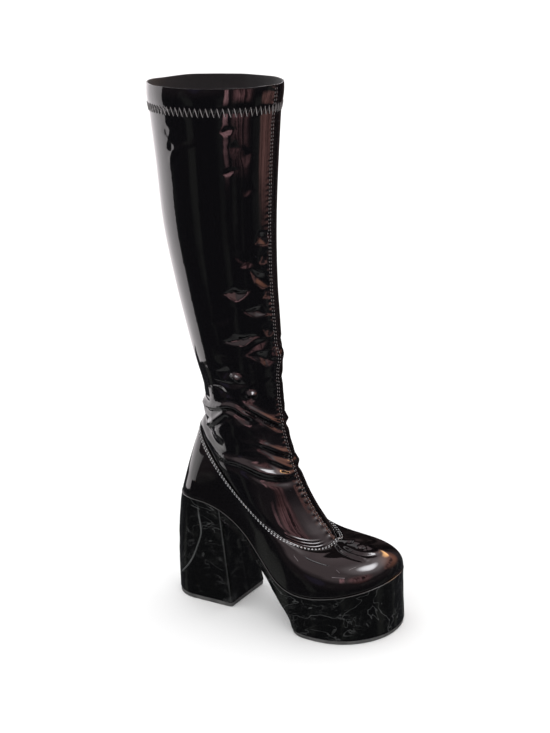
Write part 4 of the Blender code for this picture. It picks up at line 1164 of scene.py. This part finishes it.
def zipPath():  # points up the middle of the zip from the pump, with their outward and sideways directions
    rise = np.linspace(pump["zipFoot"] + zipLook["footGap"], zipLook["pumpEnd"], zipLook["pumpSteps"])
    riseDepth = np.linspace(*zipLook["pumpDepth"], zipLook["pumpSteps"])
    level = np.linspace(zipLook["shaftStart"], shaft["zipTop"] + zipLook["overTop"], zipLook["shaftSteps"])
    levelDepth = np.full(zipLook["shaftSteps"], zipLook["shaftDepth"])
    spans = (pumpPoint, pumpPoint, rise, riseDepth), (shaftBase, legPoint, level, levelDepth)
    lines = []
    for surface, facing, at, depth in spans:
        outward = surfaceFrame(facing, zipAngle, at)[0]
        lines.append(np.concatenate([surface(zipAngle, at) - outward * depth[:, None], outward], axis=-1))
    joined = np.concatenate(lines)
    middle, outward = joined[:, :3], unit(joined[:, 3:])
    for _ in range(zipLook["easing"]):  # ease the step where the zip passes under the topline
        for line in (middle, outward):
            line[1:-1] = (line[:-2] + 2 * line[1:-1] + line[2:]) / 4
    outward = unit(outward)
    along = unit(np.gradient(middle, axis=0))
    return middle, outward, unit(np.cross(along, outward))


def makeZip():
    middle, outward, sideways = zipPath()
    offsets = np.linspace(-1, 1, zipLook["tapeColumns"]) * zipLook["tapeHalf"]
    crown = -zipLook["crown"] * offsets**2
    across = sideways[:, None] * offsets[None, :, None]
    tape = middle[:, None] + across + outward[:, None] * crown[None, :, None]
    piece = newPiece("zipTape", gridMesh("zipTape", tape[:, ::-1], False), zipWeave)
    addWall(piece, zipLook["tape"], lining=0)
    finishPiece(piece, ["zip_tape"])
    run = runLength(middle)
    ribs = []
    for side, start in ((1, 0), (-1, zipLook["ribPitch"] / 2)):
        at = np.arange(zipLook["ribStart"] + start, run[-1] - zipLook["stop"], zipLook["ribPitch"])
        base = pickAlong(at, run, middle) + pickAlong(at, run, outward) * zipLook["ribLift"]
        reach = pickAlong(at, run, sideways) * side
        ends = base - reach * zipLook["ribCross"], base + reach * zipLook["ribReach"]
        ribs.append(np.stack(ends, axis=1))
    makeStrands("zipCoil", np.concatenate(ribs), zipLook["ribRadius"], coilNylon)


makeZip()

slider = {
    "level": 6.75, "levelStep": 0.01, "top": 3.2, "plate": 1.3, "lower": (0.35, 1.2),
    "shield": [(-4.1, 5.3), (4.1, 5.3), (4.1, 0.5), (2.9, -5.4), (-2.9, -5.4), (-4.1, 0.5)],
    "corner": 1.3, "panel": (0.7, 0.25),  # how far in, how deep
    "flange": [(3.9, 4.6), (3.1, 4.6), (2.1, -4.9), (2.8, -4.9), (3.9, 0.4)],
    "flangeLow": 1.0, "flangeOver": 0.2,
    "bridgeFoot": 0.6, "bridgeTop": 6.4, "bridgeReach": 3.6, "bridgeSize": (1.25, 0.7), "bridgeSteps": 19,
    "bridgeSquare": 0.5, "edge": (0.22, 3, 35),
}
pull = {
    "width": 7.0, "length": 27.0, "thick": 1.4, "window": 7.5, "corner": 1.4, "panel": (0.9, 0.3),
    "arm": 1.5, "armOver": 0.8, "armTop": 0.5, "armRound": (0.5, 4), "armThin": 0.9,
    "bar": 0.7, "barShort": 0.4, "barSides": 14, "barHeight": 4.55, "barSet": -0.6, "edge": (0.2, 3, 35),
}


def sliderFrame():
    level, step = slider["level"], slider["levelStep"]
    up = unit(legPoint(zipAngle, level + step) - legPoint(zipAngle, level - step))
    outward = surfaceFrame(legPoint, zipAngle, level, step)[0]
    return legPoint(zipAngle, level), unit(np.cross(outward, up)), outward, up


def placeMatrix(place, sideways, outward, up):
    turn = Matrix((Vector(sideways), Vector(outward), Vector(up))).transposed().to_4x4()
    return Matrix.Translation(Vector(toFrame(place))) @ turn @ Matrix.Scale(mm, 4)


def prism(bm, outline, low, high, inset=0.0, sink=0.0):
    # a plate with its outline in the x-z plane and its thickness along y
    lower = [bm.verts.new((x, low, z)) for x, z in outline]
    upper = [bm.verts.new((x, high, z)) for x, z in outline]
    count = len(outline)
    bm.faces.new(lower)
    top = bm.faces.new(upper[::-1])
    for i in range(count):
        k = (i + 1) % count
        bm.faces.new((lower[k], lower[i], upper[i], upper[k]))
    if inset:
        bmesh.ops.inset_region(bm, faces=[top], thickness=inset, depth=-sink)


def roundedOutline(corners, radius, steps=5):
    corners = np.array(corners, float)
    line = []
    for i, corner in enumerate(corners):
        before, after = unit(corners[i - 1] - corner), unit(corners[(i + 1) % len(corners)] - corner)
        for f in np.linspace(0, 1, steps):
            a, b = corner + before * radius * (1 - f), corner + after * radius * f
            line.append(a * (1 - f) + b * f)
    return line


def tubeAlong(bm, path, halfWide, halfThick, sides=10):
    # a closed strap along a path in the y-z plane, wide along x
    path = np.array(path, float)
    along = unit(np.gradient(path, axis=0))
    rings = []
    for p, d in zip(path, along):
        across = np.array([-d[1], d[0]])
        ring = []
        for a in np.linspace(0, fullTurn, sides, endpoint=False):
            y, z = p + across * math.sin(a) * halfThick
            ring.append(bm.verts.new((math.cos(a) * halfWide, y, z)))
        rings.append(ring)
    for a, b in zip(rings, rings[1:]):
        for i in range(sides):
            k = (i + 1) % sides
            bm.faces.new((a[i], a[k], b[k], b[i]))
    bm.faces.new(rings[0][::-1])
    bm.faces.new(rings[-1])


def metalPiece(name, bm, matrix, edge, nodes, body):
    bmesh.ops.remove_doubles(bm, verts=bm.verts, dist=1e-4)
    bmesh.ops.recalc_face_normals(bm, faces=bm.faces)
    bmesh.ops.transform(bm, matrix=matrix, verts=bm.verts)
    mesh = bpy.data.meshes.new(name)
    bm.to_mesh(mesh)
    bm.free()
    piece = newPiece(name, mesh, gunmetal)
    addBevel(piece, *edge)
    finishPiece(piece, nodes, body)


def makeSlider():
    bm = bmesh.new()
    shield = roundedOutline(slider["shield"], slider["corner"])
    plateLow = slider["top"] - slider["plate"]
    prism(bm, shield, plateLow, slider["top"], *slider["panel"])
    prism(bm, shield, *slider["lower"])
    for side in (-1, 1):  # the flanges that hold the two rows together
        flange = [(side * x, z) for x, z in slider["flange"]]
        prism(bm, flange, slider["flangeLow"], plateLow + slider["flangeOver"])
    foot = slider["top"] - slider["bridgeFoot"]
    rise = slider["bridgeTop"] - foot
    bridge = [(foot + rise * math.sin(a) ** slider["bridgeSquare"], slider["bridgeReach"] * math.cos(a))
              for a in np.linspace(0, math.pi, slider["bridgeSteps"])]
    tubeAlong(bm, bridge, *slider["bridgeSize"])
    metalPiece("zipSlider", bm, placeMatrix(*sliderFrame()), slider["edge"], ["zip_slider"], "boot")


def makePull():
    place, sideways, outward, up = sliderFrame()
    hinge = place + outward * pull["barHeight"] + up * pull["barSet"]
    hang = np.array([0, 0, -1.0])
    hang = unit(hang - sideways * (hang @ sideways))
    bm = bmesh.new()
    w, thick, top, end = pull["width"] / 2, pull["thick"] / 2, -pull["window"], -pull["length"]
    plate = roundedOutline([(-w, top), (w, top), (w, end), (-w, end)], pull["corner"])
    prism(bm, plate, -thick, thick, *pull["panel"])
    armTop, armEnd, armThick = pull["armTop"], top - pull["armOver"], thick * pull["armThin"]
    for side in (-1, 1):
        x0, x1 = sorted((side * w, side * (w - pull["arm"])))
        arm = [(x0, armTop), (x1, armTop), (x1, armEnd), (x0, armEnd)]
        prism(bm, roundedOutline(arm, *pull["armRound"]), -armThick, armThick)
    bmesh.ops.create_cone(
        bm, cap_ends=True, segments=pull["barSides"], radius1=pull["bar"], radius2=pull["bar"],
        depth=pull["width"] - pull["barShort"], matrix=Matrix.Rotation(math.pi / 2, 4, "Y"))
    matrix = placeMatrix(hinge, sideways, np.cross(hang, sideways), -hang)
    metalPiece("zipPull", bm, matrix, pull["edge"], ["zip_pull"], "pull")


makeSlider()
makePull()
print("zip made")

stitch = {  # fill is the share of the pitch that shows
    "topline": {"pitch": 3.5, "fill": 0.56, "radius": 0.36, "lift": 0.24, "rise": 0.97, "clear": 3.0,
                "steps": 700},
    "seam": {"pitch": 3.3, "fill": 0.54, "radius": 0.4, "lift": 0.12, "aside": 1.5,
             "levels": (0.2, 11.97, 900)},
    "hem": {"pitch": 4.9, "half": 4.3, "radius": 0.42, "lift": 0.3, "thinner": 0.75, "steps": 720},
    "zip": {"pitch": 2.6, "fill": 0.66, "radius": 0.32, "lift": 0.1, "rows": (2.0, 11.0), "start": 0.5,
            "footGap": 0.05, "footEnd": 0.93, "legSteps": 300, "footSteps": 80, "archSteps": 60},
}


def makeToplineStitches():
    thread = stitch["topline"]
    half = (pump["slitHalf"] + thread["clear"]) / surfaceFrame(pumpPoint, zipAngle, thread["rise"])[1]
    angle = np.linspace(zipAngle + half - fullTurn, zipAngle - half, thread["steps"])
    upSpeed = surfaceFrame(pumpPoint, angle, thread["rise"])[2]
    runs = [alongPath(pumpSurface(angle % fullTurn, 1 - row / upSpeed, thread["lift"]), thread)
            for row in pump["stitchRows"]]
    makeStrands("toplineStitches", np.concatenate(runs), thread["radius"], paleThread)


def makeSeamStitches():
    thread = stitch["seam"]
    level = np.linspace(*thread["levels"])
    aside = thread["aside"] / surfaceFrame(legPoint, math.pi, level)[1]
    runs = [alongPath(shaftSurface(math.pi + side * aside, level, thread["lift"]), thread)
            for side in (-1, 1)]
    makeStrands("seamStitches", np.concatenate(runs), thread["radius"], seamThread)


def makeHemStitches():
    thread, level = stitch["hem"], shaft["hem"]["start"]
    turns = np.linspace(0, fullTurn, thread["steps"] + 1)
    speed = surfaceFrame(legPoint, turns, level)[1]
    steps = (speed[1:] + speed[:-1]) / 2 * fullTurn / thread["steps"]
    run = np.concatenate([[0], np.cumsum(steps)])
    count = 2 * int(run[-1] / thread["pitch"])
    at = np.interp(np.arange(count + 1) * run[-1] / count, run, turns)
    upSpeed = surfaceFrame(legPoint, at, level)[2]
    swing = np.where(np.arange(len(at)) % 2, -1, 1) * thread["half"]
    corners = shaftSurface(at, level + swing / upSpeed, thread["lift"])
    runs = np.stack([corners[:-1], corners[1:]], axis=1)
    makeStrands("hemStitches", runs[::2], thread["radius"], greyThread)
    makeStrands("hemReturns", runs[1::2], thread["radius"] * thread["thinner"], darkThread)


def makeZipStitches():
    thread, top = stitch["zip"], shaft["zipTop"]
    speed, upSpeed = [float(v) for v in surfaceFrame(legPoint, zipAngle, top)[1:]]
    level = np.linspace(thread["start"], top, thread["legSteps"])
    speeds = surfaceFrame(legPoint, zipAngle, level)[1]
    rise = np.linspace(pump["zipFoot"] + thread["footGap"], thread["footEnd"], thread["footSteps"])
    footSpeeds = surfaceFrame(pumpPoint, zipAngle, rise)[1]
    sweep = np.linspace(0, math.pi, thread["archSteps"])
    runs = []
    for row, off in enumerate(thread["rows"]):
        reach = shaft["slitHalf"] + off
        around, over = zipAngle + reach * np.cos(sweep) / speed, top + reach * np.sin(sweep) / upSpeed
        paths = [shaftSurface(around, over, thread["lift"])]
        for side in (-1, 1):
            paths.append(shaftSurface(zipAngle + side * reach / speeds, level, thread["lift"]))
            if row == 0:  # only the inner row goes on down the pump
                paths.append(pumpSurface(zipAngle + side * reach / footSpeeds, rise, thread["lift"]))
        runs += [alongPath(path, thread) for path in paths]
    makeStrands("zipStitches", np.concatenate(runs), thread["radius"], greyThread)


makeToplineStitches()
makeSeamStitches()
makeHemStitches()
makeZipStitches()
print("stitches made")

view = {
    "place": (0.68515, -1.15114, 0.6706), "yaw": -29.53, "pitch": 18.28, "roll": -1.16, "sensor": 36.0,
    "pictureTall": 733, "focalPixels": 1506.5, "panRightPixels": 36.0, "panDownPixels": 15.0,
}


def makeCamera():
    # turned so that the one boot stands in the middle
    yaw = math.radians(view["yaw"]) - math.atan(view["panRightPixels"] / view["focalPixels"])
    pitch = math.radians(view["pitch"]) - math.atan(view["panDownPixels"] / view["focalPixels"])
    ahead = Vector((math.cos(pitch) * math.sin(yaw), math.cos(pitch) * math.cos(yaw), -math.sin(pitch)))
    right = Vector((math.cos(yaw), -math.sin(yaw), 0))
    up = right.cross(ahead)
    c, s = math.cos(math.radians(view["roll"])), math.sin(math.radians(view["roll"]))
    right, up = right * c + up * s, up * c - right * s
    data = bpy.data.cameras.new("camera")
    data.sensor_width = view["sensor"]
    data.lens = view["focalPixels"] * view["sensor"] / view["pictureTall"]
    camera = bpy.data.objects.new("camera", data)
    turn = Matrix((right, up, -ahead)).transposed().to_4x4()
    camera.matrix_world = Matrix.Translation(view["place"]) @ turn
    scene.collection.objects.link(camera)
    scene.camera = camera


def makeFloor():
    looks = {"half": 8, "drop": 0.0004, "colours": ((0.93, 0.93, 0.93), (0.95, 0.95, 0.95)), "cloud": 3.0,
             "roughness": 0.9, "specular": 0.1}
    made, tree, shader = startMaterial(
        "paleFloor", Roughness=looks["roughness"], Specular_IOR_Level=looks["specular"])
    cloud = noiseNode(tree, objectPlace(tree), looks["cloud"])
    tree.links.new(mixColour(tree, cloud, *looks["colours"]), shader.inputs["Base Color"])
    corners = [(x * looks["half"], y * looks["half"], -looks["drop"])
               for x, y in ((-1, -1), (1, -1), (1, 1), (-1, 1))]
    mesh = bpy.data.meshes.new("floor")
    mesh.from_pydata(corners, [], [(0, 1, 2, 3)])
    floor = newPiece("floor", mesh, made)
    floor.visible_glossy = False


# reflectors: degrees round from the outer side towards the toe, metres away, glow in even steps
# soft is the share of the card's height and width over which it fades out
cardShape = {"columns": 24, "middleX": -0.06, "streakScale": 30.0, "streakTall": 0.12,
             "streakSpan": (0.38, 0.62)}
cards = {
    "counterCard": {"turn": (-38, -66), "away": 0.1, "heights": (0.116, 0.168),
                    "colour": (1.0, 0.97, 0.97), "glow": (1.3, 2.0, 2.0)},
    "backCard": {"turn": (-64, -97), "away": 0.5, "heights": (0.0, 1.1),
                 "colour": (1.0, 0.95, 0.97), "glow": (2.2, 2.38, 2.3)},
    "farCard": {"turn": (-97, -158), "away": 0.5, "heights": (0.045, 1.1),
                "colour": (1.0, 0.95, 0.97), "glow": (2.3, 1.98, 1.42, 0.9)},
    "frontStrip": {"turn": (31, 40), "away": 0.6, "heights": (0.24, 0.62), "colour": (1.0, 0.54, 0.58),
                   "glow": (3.6, 3.2), "streaks": (0.3, 1.2), "soft": (0.3, 0.2)},
    "frontGlow": {"turn": (41, 84), "away": 0.62, "heights": (0.25, 0.6), "colour": (1.0, 0.5, 0.53),
                  "glow": (2.0, 1.6, 1.0), "streaks": (0.1, 1.3), "soft": (0.4, 0.3)},
    "toeGlow": {"turn": (102, 142), "away": 0.62, "heights": (0.22, 0.42), "colour": (1.0, 0.5, 0.45),
                "glow": (1.7, 1.5), "streaks": (0.3, 1.2), "soft": (0.3, 0.2)},
    "innerShade": {"turn": (143, 214), "away": 0.27, "heights": (0.0, 0.5), "colour": (1.0, 0.7, 0.7),
                   "glow": (0.03, 0.03), "streaks": (0.3, 2.0)},
}


def cardMaterial(name, card):
    made = bpy.data.materials.new(name)
    made.use_nodes = True
    tree = made.node_tree
    tree.nodes.clear()
    at = stretched(tree, objectPlace(tree), (1, 1, cardShape["streakTall"]))
    streak = noiseNode(tree, at, cardShape["streakScale"])
    streak = remap(tree, streak, *cardShape["streakSpan"], *card.get("streaks", (1, 1)))
    glow = mathNode(tree, "MULTIPLY", attributeNode(tree, "glow"), streak)
    light = addNode(tree, "ShaderNodeEmission", {"Color": (*card["colour"], 1), "Strength": glow})
    clear = addNode(tree, "ShaderNodeBsdfTransparent")
    seen = addNode(tree, "ShaderNodeMixShader", {
        0: attributeNode(tree, "cover"), 1: clear.outputs[0], 2: light.outputs[0]})
    tree.links.new(seen.outputs[0], addNode(tree, "ShaderNodeOutputMaterial").inputs[0])
    return made


def makeCard(name, card):
    count = cardShape["columns"]
    steps = np.linspace(0, 1, count)
    start, end = card["turn"]
    turns = np.radians(start + (end - start) * steps)
    places = [(cardShape["middleX"] + math.sin(t) * card["away"], -math.cos(t) * card["away"]) for t in turns]
    low, high = card["heights"]
    soft, softSide = card.get("soft", (0.0, 0.0))
    rows = (0, soft, 1 - soft, 1)
    bands = (0, 1, 2) if soft else (1,)
    quads = [(r * count + i, r * count + i + 1, (r + 1) * count + i + 1, (r + 1) * count + i)
             for r in bands for i in range(count - 1)]
    mesh = bpy.data.meshes.new(name)
    mesh.from_pydata([(x, y, low + (high - low) * row) for row in rows for x, y in places], [], quads)
    glow = np.interp(steps, np.linspace(0, 1, len(card["glow"])), card["glow"])
    across = smoothStep(0, softSide, np.minimum(steps, 1 - steps)) if softSide else np.ones(count)
    upDown = (0, 1, 1, 0) if soft else (1, 1, 1, 1)
    for label, values in (("glow", np.tile(glow, len(rows))), ("cover", np.outer(upDown, across).ravel())):
        mesh.attributes.new(label, "FLOAT", "POINT").data.foreach_set("value", values.tolist())
    piece = newPiece(name, mesh, cardMaterial(name, card))
    piece.visible_camera = piece.visible_diffuse = piece.visible_shadow = False


room = {  # what the gloss sees beyond the cards, by the height of its view from -1 down to 1 up
    "low": (0.04, 0.04, 0.046), "middle": (0.13, 0.10, 0.11), "horizon": (-0.2, 0.1),
    "top": (0.98, 0.76, 0.79), "topHeights": (0.28, 0.62), "cloudScale": 2.3, "cloudSpan": (0.25, 0.6),
    "cloudStrength": (0.45, 1.1), "floorGlow": (0.3, 0.3, 0.29), "floorHeights": (-0.6, -0.82),
    "haze": (0.11, 0.115, 0.10), "hazeScale": 2.4, "hazeBend": 0.5, "hazeSpan": (0.52, 0.66),
    "hazeHeights": (0.3, 0.1), "plainStrength": 1.3,
    "lamps": {  # degrees round and up, half width to nothing and of the full glow, colour, strength
        "softLamp": (110, 68, 14, 2, (1, 1, 1.04), 14.0),
        "softHalo": (114, 64, 32, 5, (1, 0.92, 0.94), 1.7),
        "amberLamp": (163, 43, 13, 1, (1.0, 0.54, 0.2), 16.0),
        "amberGlow": (150, 30, 34, 5, (1.0, 0.40, 0.24), 1.6),
        "redGlow": (58, 34, 24, 5, (1.0, 0.32, 0.28), 0.7),
        "violetGlow": (-14, 10, 12, 3, (0.45, 0.4, 1.0), 0.2),
    },
}


def makeStudio():
    world = bpy.data.worlds.new("studio")
    scene.world = world
    world.use_nodes = True
    tree = world.node_tree
    tree.nodes.clear()
    way = addNode(tree, "ShaderNodeTexCoord").outputs["Generated"]
    height = addNode(tree, "ShaderNodeSeparateXYZ", {0: way}).outputs[2]
    cloud = noiseNode(tree, way, room["cloudScale"], 3.0)
    cloud = remap(tree, cloud, *room["cloudSpan"], *room["cloudStrength"])
    upper = mathNode(tree, "MULTIPLY", remap(tree, height, *room["topHeights"]), cloud)
    base = mixColour(tree, remap(tree, height, *room["horizon"]), room["low"], room["middle"], clamp=True)
    total = mixColour(tree, upper, base, room["top"], clamp=True)
    drift = noiseNode(tree, way, room["hazeScale"], Distortion=room["hazeBend"])
    drift = remap(tree, drift, *room["hazeSpan"])
    haze = mathNode(tree, "MULTIPLY", drift, remap(tree, height, *room["hazeHeights"]))
    glows = [(room["floorGlow"], remap(tree, height, *room["floorHeights"])), (room["haze"], haze)]
    for azimuth, elevation, wide, core, colour, strength in room["lamps"].values():
        a, e = math.radians(azimuth), math.radians(elevation)
        aim = (math.sin(a) * math.cos(e), -math.cos(a) * math.cos(e), math.sin(e))
        facing = vectorNode(tree, "DOT_PRODUCT", way, b=aim)
        glow = remap(tree, facing, math.cos(math.radians(wide)), math.cos(math.radians(core)))
        glows.append((tuple(c * strength for c in colour), glow))
    for colour, strength in glows:
        total = vectorNode(tree, "ADD", total, b=vectorNode(tree, "SCALE", colour, scale=strength))
    seen = addNode(tree, "ShaderNodeBackground", {"Color": total, "Strength": 1.0})
    plain = addNode(tree, "ShaderNodeBackground", {"Color": (1, 1, 1, 1), "Strength": room["plainStrength"]})
    glossy = addNode(tree, "ShaderNodeLightPath").outputs["Is Glossy Ray"]
    mix = addNode(tree, "ShaderNodeMixShader", {0: glossy, 1: plain.outputs[0], 2: seen.outputs[0]})
    tree.links.new(mix.outputs[0], addNode(tree, "ShaderNodeOutputWorld").inputs[0])


makeCamera()
makeFloor()
for cardName, cardLook in cards.items():
    makeCard(cardName, cardLook)
makeStudio()
print("studio made")

bpy.context.view_layer.update()
